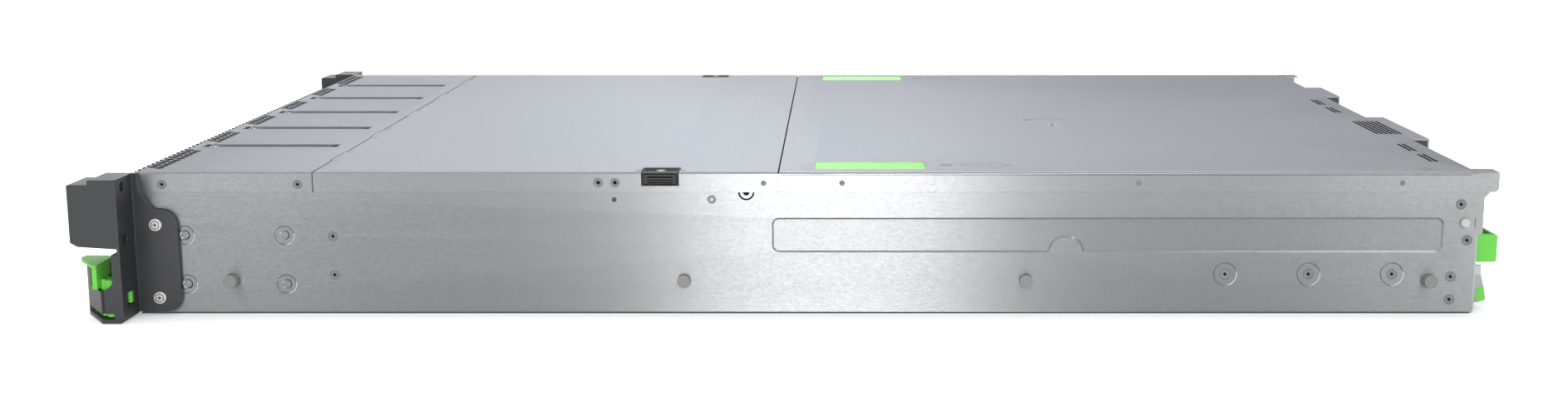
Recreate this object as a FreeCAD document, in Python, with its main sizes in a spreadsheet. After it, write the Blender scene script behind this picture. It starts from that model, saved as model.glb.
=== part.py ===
import FreeCAD, Part
import math
import os
import re
import Sketcher

# A rack server, two rack units high, in millimetres. The front faces -Y and +Z is up.
# Every place along the depth is given as u, the distance behind the fold of the rack ears;
# x is measured from the middle of the body and z from its underside.

doc = FreeCAD.newDocument("rack_server")

# Driving dimensions
SIZES = {
    # sheet-metal body
    "body_width": 435.0,
    "body_depth": 808.5,
    "body_height": 87.0,
    "wall": 1.2,
    "bend_radius": 1.2,
    "front_edge": 2.0,
    # covers
    "cover_sheet": 1.0,
    "cover_fit": 0.06,
    "flange_drop": 12.0,
    "seam_front": 108.5,
    "seam_rear": 388.0,
    "seam_gap": 0.9,
    "cover_reach": 820.5,
    "cover_recess": 807.0,
    "lip_drop": 7.0,
    # side wall embossing
    "panel_start": 384.0,
    "panel_end": 788.5,
    "panel_low": 37.9,
    "panel_high": 59.1,
    "panel_radius": 4.3,
    "panel_depth": 0.7,
    "emboss_slope": 55.0,
    "notch_middle": 561.4,
    "notch_half": 10.0,
    "notch_top": 8.0,
    "notch_rise": 9.1,
    "notch_round": 7.9,
    "notch_fillet": 2.5,
    "dimple_front": 30.0,
    "dimple_span": 60.0,
    "dimple_low": 18.3,
    "dimple_rise": 30.2,
    "dimple_radius": 5.8,
    "dimple_core": 3.5,
    "dimple_depth": 0.3,
    "round_first": 657.9,
    "round_pitch": 50.45,
    "round_height": 24.4,
    "round_radius": 7.0,
    "wall_tail": 3.7,
    "tail_low": 48.8,
    "tail_high": 71.6,
    # rail studs
    "stud_radius": 4.0,
    "stud_length": 4.2,
    "stud_height": 20.8,
    "stud_first": 57.0,
    "stud_second": 330.7,
    "stud_third": 537.3,
    "stud_last": 781.5,
    # honeycomb vents and beads of the front panel
    "vent_pitch": 6.2,
    "vent_radius": 2.6,
    "vent_front": 0.6,
    "bead_pitch": 69.6,
    "bead_shift": -11.8,
    "bead_width": 9.0,
    "bead_start": 9.0,
    "bead_ramp": 12.5,
    "bead_floor": 19.0,
    "bead_back": 90.5,
    "bead_end": 96.5,
    "bead_depth": 2.6,
    # seam tabs
    "tab_pitch": 84.4,
    "tab_shift": -3.7,
    "tab_width": 30.0,
    "tab_reach": 4.0,
    "tab_relief": 1.3,
    "tab_space": 1.26,
    "tab_nose": 0.72,
    # cover latches
    "latch_middle": 317.0,
    "latch_width": 21.6,
    "latch_tongue": 13.5,
    "latch_drop": 7.7,
    "latch_pad": 3.2,
    "latch_proud": 0.8,
    "latch_travel": 2.0,
    "latch_clear": 0.5,
    "ridge_pitch": 2.1,
    "ridge_rise": 0.5,
    # push pads and cover lock
    "pad_start": 409.5,
    "pad_length": 67.5,
    "pad_width": 25.0,
    "pad_inset": 9.0,
    "pad_depth": 0.5,
    "lock_middle": 574.5,
    "lock_offset": 45.0,
    "lock_radius": 5.0,
    "lock_play": 0.05,
    "lock_slot": 1.6,
    # rear vents of the cover
    "slot_width": 1.9,
    "slot_pitch": 3.2,
    "slot_start": 791.5,
    "slot_run": 54.0,
    "slot_middle": 56.0,
    "short_run": 26.0,
    "short_far_outer": -60.0,
    "short_far_inner": -22.5,
    "short_near_inner": 133.5,
    "short_near_outer": 170.0,
    "corner_tab": 11.5,
    "bulge_far_start": -140.0,
    "bulge_far_end": -90.0,
    "bulge_near_start": 11.0,
    "bulge_near_end": 102.5,
    # rack ears
    "ear_width": 482.6,
    "rack_pitch": 465.1,
    "rack_hole_high": 81.6,
    "rack_hole_step": 31.75,
    "rack_hole_radius": 3.0,
    "bracket_plate": 2.5,
    "bracket_flange": 1.6,
    "flange_front": 0.6,
    "bracket_low": 1.9,
    "bracket_length": 26.6,
    "bracket_shoulder": 65.1,
    "bracket_neck": 4.5,
    "bracket_foot": 9.0,
    "bracket_brow": 9.5,
    "bracket_run": 8.3,
    "bracket_rise": 11.9,
    "bracket_fillet": 5.5,
    "bracket_edge": 2.0,
    "ear_inner_gap": 0.3,
    "block_reach": 27.7,
    "block_low": 45.6,
    "block_step": 15.4,
    "block_step_drop": 2.8,
    "block_edge": 1.0,
    "chin_rise": 3.9,
    "chin_back": 4.3,
    "chin_step": 1.5,
    "screw_hole_depth": 12.0,
    "ear_screw_radius": 3.85,
    "ear_screw_head": 1.2,
    "ear_screw_back": 13.9,
    "ear_screw_low": 10.6,
    "ear_screw_rise": 45.0,
    "window_low": 9.5,
    "window_tall": 8.0,
    "window_width": 8.5,
    "window_inner": 8.5,
    "housing_low": 0.5,
    "housing_floor": 2.5,
    "housing_reach": 29.1,
    "housing_corner": 11.8,
    "housing_wall": 1.8,
    "housing_post": 2.4,
    "housing_back": 4.5,
    "housing_top": 42.0,
    "housing_lip_low": 6.5,
    "housing_lip_top": 20.0,
    "housing_post_run": 5.4,
    "housing_post_top": 30.3,
    "housing_groove": 1.2,
    "housing_side_run": 5.3,
    "housing_side_rise": 4.4,
    "lever_reach": 32.5,
    "lever_tab": 2.2,
    "lever_top": 35.2,
    "lever_wall": 2.9,
    "lever_thick": 6.0,
    "lever_ledge": 26.0,
    "lever_end": 2.9,
    "lever_gap": 0.6,
    "lever_hub": 3.0,
    "lever_back": 14.8,
    "lever_overhang": 4.3,
    "lever_axis_inset": 6.1,
    "lever_axis_front": 8.2,
    "lever_hook": 3.0,
    "lever_hook_end": 0.7,
    "lever_pin_radius": 1.6,
    "pin_play": 0.05,
    # ear buttons and sockets
    "power_radius": 4.5,
    "ident_radius": 2.8,
    "button_proud": 1.6,
    "button_depth": 7.0,
    "power_height": 72.0,
    "ident_height": 60.0,
    "socket_width": 13.6,
    "socket_tall": 6.2,
    "socket_rim": 0.6,
    "socket_depth": 12.0,
    # drive bays
    "bay_pitch": 17.45,
    "bay_tall": 71.0,
    "cage_sheet": 1.0,
    "cage_front": 3.0,
    "cage_back": 100.0,
    "divider": 0.8,
    "drive_play": 0.2,
    "drive_width": 15.0,
    "drive_back": 105.0,
    "bezel_width": 16.8,
    "bezel_reach": 6.0,
    "bezel_slot": 1.6,
    "bezel_slot_pitch": 3.2,
    "brow_slot": 12.0,
    "brow_slot_tall": 4.0,
    "grip_recess": 3.0,
    "grip_depth": 5.0,
    "grip_width": 11.0,
    "grip_low": 12.0,
    "grip_tall": 50.0,
    "grip_round": 1.9,
    "grip_pin": 1.2,
    "grip_play": 0.4,
    "blank_tail": 25.0,
    "backplane_start": 107.6,
    "backplane_tall": 70.0,
    "board_sheet": 1.6,
    "plug_width": 6.0,
    "plug_low": 18.0,
    "plug_tall": 24.0,
    # fans
    "fan_pitch": 70.0,
    "fan_size": 62.0,
    "fan_depth": 38.0,
    "fan_start": 140.0,
    "fan_bore": 29.0,
    "fan_tip": 27.2,
    "fan_hub": 14.0,
    "blade_sheet": 1.6,
    "blade_lean": 8.0,
    "blade_chord": 20.0,
    "strut_width": 4.0,
    "strut_sheet": 3.0,
    "hub_gap": 0.3,
    "fan_margin": 6.0,
    "fan_wall_tall": 70.0,
    # main board and what it carries
    "board_start": 215.0,
    "board_step": 612.0,
    "board_end": 798.0,
    "board_height": 7.0,
    "board_inset": 4.0,
    "board_near": 60.0,
    "standoff_radius": 3.0,
    "processor_offset": 105.0,
    "processor_width": 58.0,
    "processor_length": 76.0,
    "processor_tall": 4.0,
    "sink_width": 78.0,
    "sink_length": 108.0,
    "sink_base": 6.0,
    "sink_top": 66.0,
    "sink_start": 300.0,
    "fin_sheet": 0.8,
    "fin_pitch": 3.8,
    "module_width": 3.4,
    "module_first": 46.0,
    "module_pitch": 8.4,
    "module_length": 133.0,
    "module_tall": 31.0,
    "riser_length": 165.0,
    "riser_tall": 70.0,
    # rear panel
    "rear_sheet": 1.2,
    "card_spacing": 140.0,
    "card_width": 112.0,
    "card_tall": 13.5,
    "card_pitch": 17.4,
    "card_low": 50.5,
    "card_lip": 1.5,
    "card_slot": 8.0,
    "card_slot_pitch": 14.4,
    "jack_width": 16.0,
    "jack_tall": 14.0,
    "jack_hollow": 11.8,
    "jack_hollow_tall": 8.4,
    "jack_depth": 18.0,
    "jack_proud": 0.8,
    "jack_gap": 0.3,
    "jack_first": -190.0,
    "jack_pitch": 20.0,
    "jack_pair": 46.0,
    "port_width": 14.6,
    "port_tall": 16.4,
    "port_hollow": 12.6,
    "port_hollow_tall": 5.2,
    "port_step": 7.8,
    "port_first": -96.0,
    "port_pitch": 20.0,
    "screen_middle": -36.0,
    "screen_width": 32.0,
    "screen_hollow": 17.6,
    "screen_depth": 6.0,
    # power supplies
    "supply_width": 73.5,
    "supply_tall": 40.0,
    "supply_low": 6.8,
    "supply_length": 185.0,
    "supply_inset": 4.8,
    "supply_gap": 0.4,
    "supply_spacing": 75.0,
    "handle_reach": 15.5,
    "handle_tall": 17.1,
    "handle_sheet": 3.0,
    "handle_width": 50.0,
    "handle_inset": 4.0,
    "handle_corner": 1.5,
    "cam_width": 12.0,
    "cam_inset": 4.2,
    "cam_height": 25.2,
    "cam_round": 2.8,
    "cam_gap": 0.3,
    "cam_pin": 1.4,
    "cam_tip": 4.0,
    "cam_foot": 14.5,
    "cam_lean": 10.3,
    "cam_ear": 1.6,
    "inlet_width": 27.0,
    "inlet_tall": 19.4,
    "inlet_depth": 14.0,
    "inlet_inset": 7.0,
    "inlet_rim": 2.0,
    "inlet_low": 8.8,
    "prong_width": 2.0,
    "prong_tall": 5.0,
    "grille_pitch": 4.0,
    "grille_edge": 2.0,
    "grille_slot": 2.0,
    "grille_width": 22.0,
    "grille_depth": 3.0,
}

sheet = doc.addObject("Spreadsheet::Sheet", "Sizes")
for row, (alias, number) in enumerate(SIZES.items(), start=1):
    sheet.set(f"A{row}", alias)
    sheet.set(f"B{row}", str(number))
    sheet.setAlias(f"B{row}", alias)
doc.recompute()

# Places that several pieces share, worked out from the sizes
HALF = "(body_width / 2)"
FOLD = "(lever_reach - body_depth - rear_sheet - handle_reach) / 2"
COVER_UNDER = "(body_height - cover_sheet)"
WALL_TOP = "(body_height - cover_sheet - cover_fit)"
STEP = "(body_height - flange_drop - cover_fit)"
BAND = "(body_width / 2 - cover_sheet - cover_fit)"
EAR_OUT = "(ear_width / 2)"
EAR_IN = "(body_width / 2 + ear_inner_gap)"
REAR_FACE = "(body_depth + rear_sheet)"
SIDES = (1, -1)

nodes = []


def full(text):
    """The expression with each size's name made a reference to its cell."""
    return re.sub(r"[a-z_]+", lambda word: "Sizes." + word[0] if word[0] in SIZES else word[0], str(text))


def value(text):
    """The number that an expression has now."""
    return float(sheet.evalExpression(full(text)))


def bind(thing, prop, text):
    thing.setExpression(prop, full(text))


def place(thing, x, u, z):
    bind(thing, "Placement.Base.x", x)
    bind(thing, "Placement.Base.y", f"{FOLD} + ({u})")
    bind(thing, "Placement.Base.z", z)


def node(thing, label):
    """Names a finished sub-part, which becomes a node of the part."""
    thing.Label = label
    nodes.append(thing)
    return thing


def about(middle, width):
    """Low and high values of a width about a middle."""
    return f"{middle} - ({width}) / 2", f"{middle} + ({width}) / 2"


# Primitives whose sizes and places follow the sheet
def slab(name, x, u, z):
    """A box between two values on each axis."""
    box = doc.addObject("Part::Box", name)
    for prop, (low, high) in zip(("Length", "Width", "Height"), (x, u, z)):
        bind(box, prop, f"({high}) - ({low})")
    place(box, x[0], u[0], z[0])
    return box


ROD_TURN = {
    "x": FreeCAD.Rotation(FreeCAD.Vector(0, 1, 0), 90),
    "u": FreeCAD.Rotation(FreeCAD.Vector(1, 0, 0), -90),
    "z": FreeCAD.Rotation(),
}


def rod(name, along, at, radius, length):
    """A cylinder that starts at a point and runs along one axis."""
    cylinder = doc.addObject("Part::Cylinder", name)
    cylinder.Placement.Rotation = ROD_TURN[along]
    bind(cylinder, "Radius", radius)
    bind(cylinder, "Height", length)
    place(cylinder, *at)
    return cylinder


def hexagon(name, at, radius, height):
    """An upright six-sided prism with corners towards the front and the rear."""
    prism = doc.addObject("Part::Prism", name)
    prism.Polygon = 6
    prism.Placement.Rotation = FreeCAD.Rotation(FreeCAD.Vector(0, 0, 1), 30)
    bind(prism, "Circumradius", radius)
    bind(prism, "Height", height)
    place(prism, *at)
    return prism


def group(name, things):
    """Separate solids kept together."""
    compound = doc.addObject("Part::Compound", name)
    compound.Links = things
    return compound


def fuse(name, things):
    joined = doc.addObject("Part::MultiFuse", name)
    joined.Shapes = things
    joined.Refine = True
    return joined


def cut(name, base, tools):
    """The base less its tools, which may not touch one another."""
    result = doc.addObject("Part::Cut", name)
    result.Base = base
    result.Tool = tools[0] if len(tools) == 1 else group(name + "_tools", tools)
    result.Refine = True
    return result


def mirror(name, source):
    """The piece on the other side of the body's middle plane."""
    copy = doc.addObject("Part::Mirroring", name)
    copy.Source = source
    copy.Base = (0, 0, 0)
    copy.Normal = (1, 0, 0)
    return copy


# Bodies made from sketches. A sketch is drawn across one axis, at a level on it.
PLANES = {"x": ("YZ_Plane", 1), "u": ("XZ_Plane", -1), "z": ("XY_Plane", 1)}


def solid(name):
    body = doc.addObject("PartDesign::Body", name)
    bind(body, "Placement.Base.y", FOLD)
    return body


def origin_item(body, role):
    return next(item for item in body.Origin.OriginFeatures if item.Role == role)


def sketch_on(body, across, level):
    role, sign = PLANES[across]
    sketch = body.newObject("Sketcher::SketchObject", "outline")
    sketch.AttachmentSupport = (origin_item(body, role), [""])
    sketch.MapMode = "FlatFace"
    bind(sketch, "AttachmentOffset.Base.z", f"{sign} * ({level})")
    return sketch


class Outline:
    """Collects a sketch's rules, so that the sketch is solved once, and ties them to the sheet."""

    def __init__(self, sketch):
        self.sketch = sketch
        self.rules = []

    def rule(self, *terms, tie=None):
        terms = terms if tie is None else terms + (value(tie),)
        self.rules.append((Sketcher.Constraint(*terms), tie))

    def hold(self, geometry, spot, a, b):
        """Ties a point of the sketch to two values."""
        self.rule("DistanceX", -1, 1, geometry, spot, tie=a)
        self.rule("DistanceY", -1, 1, geometry, spot, tie=b)

    def close(self):
        indices = self.sketch.addConstraint([rule for rule, tie in self.rules])
        for index, (rule, tie) in zip(indices, self.rules):
            if tie is not None:
                bind(self.sketch, f"Constraints[{index}]", tie)


def rounding(corner, point, previous, following):
    """Start, middle and end of the arc that rounds a corner, and whether it turns left."""
    back = (previous - point).normalize()
    ahead = (following - point).normalize()
    radius = value(corner[2])
    half = back.getAngle(ahead) / 2
    run = radius / math.tan(half)
    inward = (back + ahead).normalize()
    middle = point + inward * (radius / math.sin(half) - radius)
    return point + back * run, middle, point + ahead * run, back.cross(ahead).z < 0


def draw(sketch, corners):
    """A closed outline through corners, each (a, b) or (a, b, radius), all tied to the sheet."""
    outline = Outline(sketch)
    points = [FreeCAD.Vector(value(corner[0]), value(corner[1]), 0) for corner in corners]
    count = len(points)
    arcs = []
    for index, corner in enumerate(corners):
        around = (points[index], points[index - 1], points[(index + 1) % count])
        arcs.append(rounding(corner, *around) if len(corner) == 3 else None)
    lines = []
    for index in range(count):
        after = (index + 1) % count
        start = arcs[index][2] if arcs[index] else points[index]
        end = arcs[after][0] if arcs[after] else points[after]
        lines.append(sketch.addGeometry(Part.LineSegment(start, end)))
    for index, corner in enumerate(corners):
        before, after = lines[index - 1], lines[index]
        if not arcs[index]:
            outline.rule("Coincident", before, 2, after, 1)
            outline.hold(after, 1, *corner)
            continue
        start, middle, end, turns_left = arcs[index]
        arc = sketch.addGeometry(Part.Arc(start, middle, end))
        first, last = (1, 2) if turns_left else (2, 1)
        outline.rule("Tangent", before, 2, arc, first)
        outline.rule("Tangent", arc, last, after, 1)
        outline.rule("Radius", arc, tie=corner[2])
        tip = sketch.addGeometry(Part.Point(points[index]), True)
        outline.rule("PointOnObject", tip, 1, before)
        outline.rule("PointOnObject", tip, 1, after)
        outline.hold(tip, 1, *corner[:2])
    outline.close()


def draw_circles(sketch, circles):
    outline = Outline(sketch)
    for a, b, radius in circles:
        centre = FreeCAD.Vector(value(a), value(b), 0)
        geometry = sketch.addGeometry(Part.Circle(centre, FreeCAD.Vector(0, 0, 1), value(radius)))
        outline.hold(geometry, 3, a, b)
        outline.rule("Radius", geometry, tie=radius)
    outline.close()


def feature(body, kind, across, low, high, corners, circles, reversed_way):
    sketch = sketch_on(body, across, low)
    if corners:
        draw(sketch, corners)
    if circles:
        draw_circles(sketch, circles)
    made = body.newObject(kind, kind.split("::")[1].lower())
    made.Profile = sketch
    bind(made, "Length", f"({high}) - ({low})")
    made.Reversed = reversed_way
    return made


def pad(body, across, low, high, corners=(), circles=()):
    """Material from one level up to the next."""
    return feature(body, "PartDesign::Pad", across, low, high, corners, circles, PLANES[across][1] < 0)


def pocket(body, across, low, high, corners=(), circles=()):
    """A cut from one level up to the next."""
    return feature(body, "PartDesign::Pocket", across, low, high, corners, circles, PLANES[across][1] > 0)


def sunk(body, side, depth, corners=(), circles=(), slope=None):
    """A shallow recess pressed into the outer face of one side wall."""
    sketch = sketch_on(body, "x", f"{side} * {HALF}")
    if corners:
        draw(sketch, corners)
    if circles:
        draw_circles(sketch, circles)
    recess = body.newObject("PartDesign::Pocket", "recess")
    recess.Profile = sketch
    bind(recess, "Length", depth)
    recess.Reversed = side < 0
    if slope:
        bind(recess, "TaperAngle", f"-({slope})")
    return recess


def rectangle(a_low, a_high, b_low, b_high, radius=None):
    corners = [(a_low, b_low), (a_high, b_low), (a_high, b_high), (a_low, b_high)]
    return [corner + (radius,) for corner in corners] if radius else corners


# Chassis tray: one bent sheet, its upper band set in so that the covers lie flush
ROUND_COUNT = 3


def chassis_tray():
    body = solid("chassis_tray")
    right = [
        (HALF, "0", "bend_radius"),
        (HALF, STEP),
        (BAND, STEP),
        (BAND, WALL_TOP),
        (f"{BAND} - wall", WALL_TOP),
        (f"{BAND} - wall", f"{STEP} - wall"),
        (f"{HALF} - wall", f"{STEP} - wall"),
        (f"{HALF} - wall", "wall"),
    ]
    left = [(f"-({corner[0]})",) + corner[1:] for corner in reversed(right)]
    pad(body, "u", "front_edge", "body_depth", right + left)
    tail = [
        ("body_depth", "tail_low"),
        ("body_depth + wall_tail", "tail_low", "bend_radius"),
        ("body_depth + wall_tail", "tail_high"),
        (f"body_depth + wall_tail + {STEP} - tail_high", STEP),
        ("body_depth", STEP),
    ]
    panel = [
        ("panel_start", "panel_low", "panel_radius"),
        ("notch_middle - notch_half", "panel_low", "notch_fillet"),
        ("notch_middle - notch_top", "panel_low + notch_rise", "notch_round"),
        ("notch_middle + notch_top", "panel_low + notch_rise", "notch_round"),
        ("notch_middle + notch_half", "panel_low", "notch_fillet"),
        ("panel_end", "panel_low", "panel_radius"),
        ("panel_end", "panel_high", "panel_radius"),
        ("panel_start", "panel_high", "panel_radius"),
    ]
    dimples = [(u, z) for u in ("dimple_front", "dimple_front + dimple_span")
               for z in ("dimple_low", "dimple_low + dimple_rise")]
    rounds = [(f"round_first + {index} * round_pitch", "round_height", "round_radius")
              for index in range(ROUND_COUNT)]
    notch = rectangle("latch_middle - latch_width / 2 - latch_clear - wall",
                      "latch_middle + latch_width / 2 + latch_clear + wall",
                      "body_height - latch_drop - latch_clear - wall", "body_height")
    for side in SIDES:
        inner, outer = sorted((f"{side} * ({HALF} - wall)", f"{side} * {HALF}"), key=value)
        pad(body, "x", inner, outer, tail)
        sunk(body, side, "panel_depth", corners=panel, slope="emboss_slope")
        for depth, radius in (("dimple_depth", "dimple_radius"), ("3 * dimple_depth", "dimple_core")):
            sunk(body, side, depth, circles=[(u, z, radius) for u, z in dimples], slope="emboss_slope")
        sunk(body, side, "dimple_depth", circles=rounds, slope="emboss_slope")
        inner, outer = sorted((f"{side} * ({BAND} - 2 * wall)", f"{side} * ({HALF} + wall)"), key=value)
        pocket(body, "x", inner, outer, notch)
    return node(body, "chassis_tray")


def rail_studs():
    studs = []
    for side in SIDES:
        for u in ("stud_first", "stud_second", "stud_third", "stud_last"):
            shaft_start = HALF if side > 0 else f"-{HALF} - stud_length"
            studs.append(rod("stud", "x", (shaft_start, u, "stud_height"), "stud_radius", "stud_length"))
    return node(group("rail_studs", studs), "rail_studs")


# Covers: bent sheets that lie on the tray and hang over its sides
def cover_profile():
    right = [
        (HALF, "body_height - flange_drop"),
        (HALF, "body_height", "bend_radius"),
    ]
    inner = [
        (f"-({HALF} - cover_sheet)", COVER_UNDER),
        (f"{HALF} - cover_sheet", COVER_UNDER),
    ]
    return ([(f"{HALF} - cover_sheet", "body_height - flange_drop")] + right
            + [(f"-{HALF}", "body_height", "bend_radius"), (f"-{HALF}", "body_height - flange_drop")]
            + [(f"-({HALF} - cover_sheet)", "body_height - flange_drop")] + inner)


TAB_COUNT = 5


def tab_middles():
    return [f"tab_shift + ({index - (TAB_COUNT - 1) / 2}) * tab_pitch" for index in range(TAB_COUNT)]


BEAD_COUNT = 5
VENTS_A_GROUP = (8, 6, 6, 6, 6, 10)
ROW_STEP = "vent_pitch * sqrt(3) / 2"


def bead_middle(index):
    return f"(bead_shift + ({index - (BEAD_COUNT - 1) / 2}) * bead_pitch)"


def vent_middles():
    """Middles of the vent groups, which lie between the beads and beside them."""
    lines = [f"-{HALF}"] + [bead_middle(index) for index in range(BEAD_COUNT)] + [HALF]
    return [f"({low} + {high}) / 2" for low, high in zip(lines, lines[1:])]


def vent_tools():
    """Honeycomb holes: one row across the whole front edge and two rows in groups."""
    tools = []
    base = f"{COVER_UNDER} - cover_sheet"
    edge_half = int((value(HALF) - value("vent_pitch")) / value("vent_pitch"))
    for index in range(-edge_half, edge_half + 1):
        at = (f"{index} * vent_pitch", "vent_front", base)
        tools.append(hexagon("edge_vent", at, "vent_radius", "3 * cover_sheet"))
    for middle, count in zip(vent_middles(), VENTS_A_GROUP):
        for row in (1, 2):
            for index in range(count):
                x = f"{middle} + ({2 * index - count + row} / 2) * vent_pitch"
                at = (x, f"vent_front + {row} * {ROW_STEP}", base)
                tools.append(hexagon("vent", at, "vent_radius", "3 * cover_sheet"))
    return tools


def front_top_panel():
    body = solid("front_sheet")
    pad(body, "u", "front_edge", "seam_front - seam_gap / 2", cover_profile())
    trough_low = f"({COVER_UNDER} - bead_depth)"
    ramp = [
        ("bead_ramp", "body_height"),
        ("bead_floor", f"{COVER_UNDER} + cover_sheet - bead_depth"),
        ("bead_back", f"{COVER_UNDER} + cover_sheet - bead_depth"),
        ("bead_back", "body_height + cover_sheet"),
        ("bead_ramp", "body_height + cover_sheet"),
    ]
    shell = [
        ("bead_ramp", COVER_UNDER),
        ("bead_ramp", f"{COVER_UNDER} - cover_sheet / 2"),
        ("bead_floor", trough_low),
        ("bead_back", trough_low),
        ("bead_back", COVER_UNDER),
    ]
    for index in range(BEAD_COUNT):
        middle = bead_middle(index)
        low, high = f"{middle} - bead_width / 2", f"{middle} + bead_width / 2"
        pad(body, "x", f"{low} - cover_sheet", f"{high} + cover_sheet", shell)
        pocket(body, "x", low, high, ramp)
        for start, end in (("bead_start", "bead_ramp"), ("bead_back", "bead_end")):
            pocket(body, "z", f"{COVER_UNDER} - cover_sheet", "body_height + cover_sheet",
                   rectangle(low, high, start, end))
    tools = vent_tools()
    for middle in tab_middles():
        tools.append(slab("tab_space", about(middle, "tab_width"), ("seam_front - tab_space", "seam_front"),
                          (COVER_UNDER, "body_height + cover_sheet")))
    return node(cut("front_top_panel", body, tools), "front_top_panel")


def latch_space(side):
    """Corners, seen from above, of the cut that a cover latch moves in."""
    inner = f"({HALF} - latch_tongue - latch_travel - latch_clear)"
    low, high = sorted((f"{side} * {inner}", f"{side} * ({HALF} + wall)"), key=value)
    return rectangle(low, high, "latch_middle - latch_width / 2 - latch_clear",
                     "latch_middle + latch_width / 2 + latch_clear")


def middle_cover():
    body = solid("middle_sheet")
    pad(body, "u", "seam_front + seam_gap / 2", "seam_rear - seam_gap / 2", cover_profile())
    for side in SIDES:
        pocket(body, "z", "body_height - latch_drop - latch_clear", "body_height + wall", latch_space(side))
    tongue_top = f"({COVER_UNDER} - cover_fit)"
    for middle in tab_middles():
        low, high = f"{middle} - tab_width / 2 + seam_gap", f"{middle} + tab_width / 2 - seam_gap"
        hook = [
            ("seam_front + seam_gap / 2", COVER_UNDER),
            ("seam_front - tab_nose", COVER_UNDER),
            ("seam_front - tab_nose", "body_height"),
            ("seam_front + seam_gap / 2", "body_height"),
        ]
        pad(body, "x", low, high, hook)
        tongue = [
            ("seam_front - tab_reach", f"{tongue_top} - cover_sheet"),
            ("seam_front + 2 * tab_reach", f"{tongue_top} - cover_sheet"),
            ("seam_front + 2 * tab_reach", COVER_UNDER),
            ("seam_front + seam_gap / 2", COVER_UNDER),
            ("seam_front + seam_gap / 2", tongue_top),
            ("seam_front - tab_reach", tongue_top),
        ]
        pad(body, "x", low, high, tongue)
    reliefs = []
    for middle in tab_middles():
        for end in (-1, 1):
            at = (f"{middle} + {end} * tab_width / 2", "seam_front + seam_gap / 2",
                  f"{COVER_UNDER} - cover_sheet / 2")
            reliefs.append(rod("relief", "z", at, "tab_relief", "2 * cover_sheet"))
    return node(cut("middle_cover", body, reliefs), "middle_cover")


RIDGE_COUNT = 3


def cover_latch(side, word):
    """Metal tongue in the cover's top with a ribbed finger pad over its outer edge."""
    low, high = "latch_middle - latch_width / 2", "latch_middle + latch_width / 2"
    inner, outer = sorted((f"{side} * ({HALF} - latch_tongue)", f"{side} * ({HALF} - latch_pad)"), key=value)
    tongue = slab("tongue", (inner, outer), (low, high), (COVER_UNDER, "body_height"))
    node(tongue, f"latch_tongue_{word}")
    back, face = f"{side} * ({HALF} - latch_pad)", f"{side} * ({HALF} + latch_proud - ridge_rise)"
    back, face = sorted((back, face), key=value)
    pieces = [slab("pad", (back, face), (low, high), ("body_height - latch_drop", "body_height"))]
    for index in range(RIDGE_COUNT):
        middle = f"body_height - latch_drop / 2 + ({index - (RIDGE_COUNT - 1) / 2}) * ridge_pitch"
        ridge = (f"{side} * ({HALF} - latch_proud)", f"{side} * ({HALF} + latch_proud)")
        run = (f"{low} + cover_sheet", f"{high} - cover_sheet")
        pieces.append(slab("ridge", sorted(ridge, key=value), run, about(middle, "ridge_pitch / 2")))
    return node(fuse("latch_pad", pieces), f"latch_pad_{word}")


# Rear edge of the rear cover: the spans, across the body, that reach over the rear panel
REAR_BULGES = (("bulge_far_start", "bulge_far_end"), ("bulge_near_start", "bulge_near_end"))
SHORT_VENTS = ("short_far_outer", "short_far_inner", "short_near_inner", "short_near_outer")
LONG_VENT_SLOTS = 6
SHORT_VENT_SLOTS = 2


def rear_edge():
    """Outline of the rear cover's sheet behind the recess line, seen from above."""
    return ((f"-{HALF}", f"-({HALF} - corner_tab)"), *REAR_BULGES, (f"{HALF} - corner_tab", HALF))


def pad_span(side):
    """Low and high values, across the body, of one push pad's recess."""
    return sorted((f"{side} * ({HALF} - pad_inset)", f"{side} * ({HALF} - pad_inset - pad_width)"), key=value)


def rear_cover():
    body = solid("rear_sheet_metal")
    pad(body, "u", "seam_rear + seam_gap / 2", "cover_recess", cover_profile())
    spans = rear_edge()
    for low, high in spans:
        pad(body, "z", COVER_UNDER, "body_height", rectangle(low, high, "cover_recess", "cover_reach"))
    for low, high in spans[1:-1]:
        pad(body, "z", "body_height - lip_drop", COVER_UNDER,
            rectangle(low, high, "cover_reach - cover_sheet", "cover_reach"))
    flange = [
        ("cover_recess", "body_height - flange_drop"),
        ("cover_reach", "body_height - flange_drop", "3 * cover_sheet"),
        ("cover_reach", COVER_UNDER),
        ("cover_recess", COVER_UNDER),
    ]
    for side in SIDES:
        inner, outer = sorted((f"{side} * ({HALF} - cover_sheet)", f"{side} * {HALF}"), key=value)
        pad(body, "x", inner, outer, flange)
        low, high = pad_span(side)
        pocket(body, "z", "body_height - pad_depth", "body_height + cover_sheet",
               rectangle(low, high, "pad_start", "pad_start + pad_length", "cover_sheet"))
    tools = [rod("lock_hole", "z", ("lock_offset", "lock_middle", f"{COVER_UNDER} - cover_sheet"),
                 "lock_radius + lock_play", "3 * cover_sheet")]
    sheet_through = (f"{COVER_UNDER} - cover_sheet", "body_height + cover_sheet")
    for index in range(LONG_VENT_SLOTS):
        start = f"slot_start + {index} * slot_pitch"
        tools.append(slab("vent_slot", ("slot_middle - slot_run / 2", "slot_middle + slot_run / 2"),
                          (start, f"{start} + slot_width"), sheet_through))
    for middle in SHORT_VENTS:
        for index in range(SHORT_VENT_SLOTS):
            start = f"slot_start + {index} * slot_pitch"
            tools.append(slab("short_slot", (f"{middle} - short_run / 2", f"{middle} + short_run / 2"),
                              (start, f"{start} + slot_width"), sheet_through))
    return node(cut("rear_cover", body, tools), "rear_cover")


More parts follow.
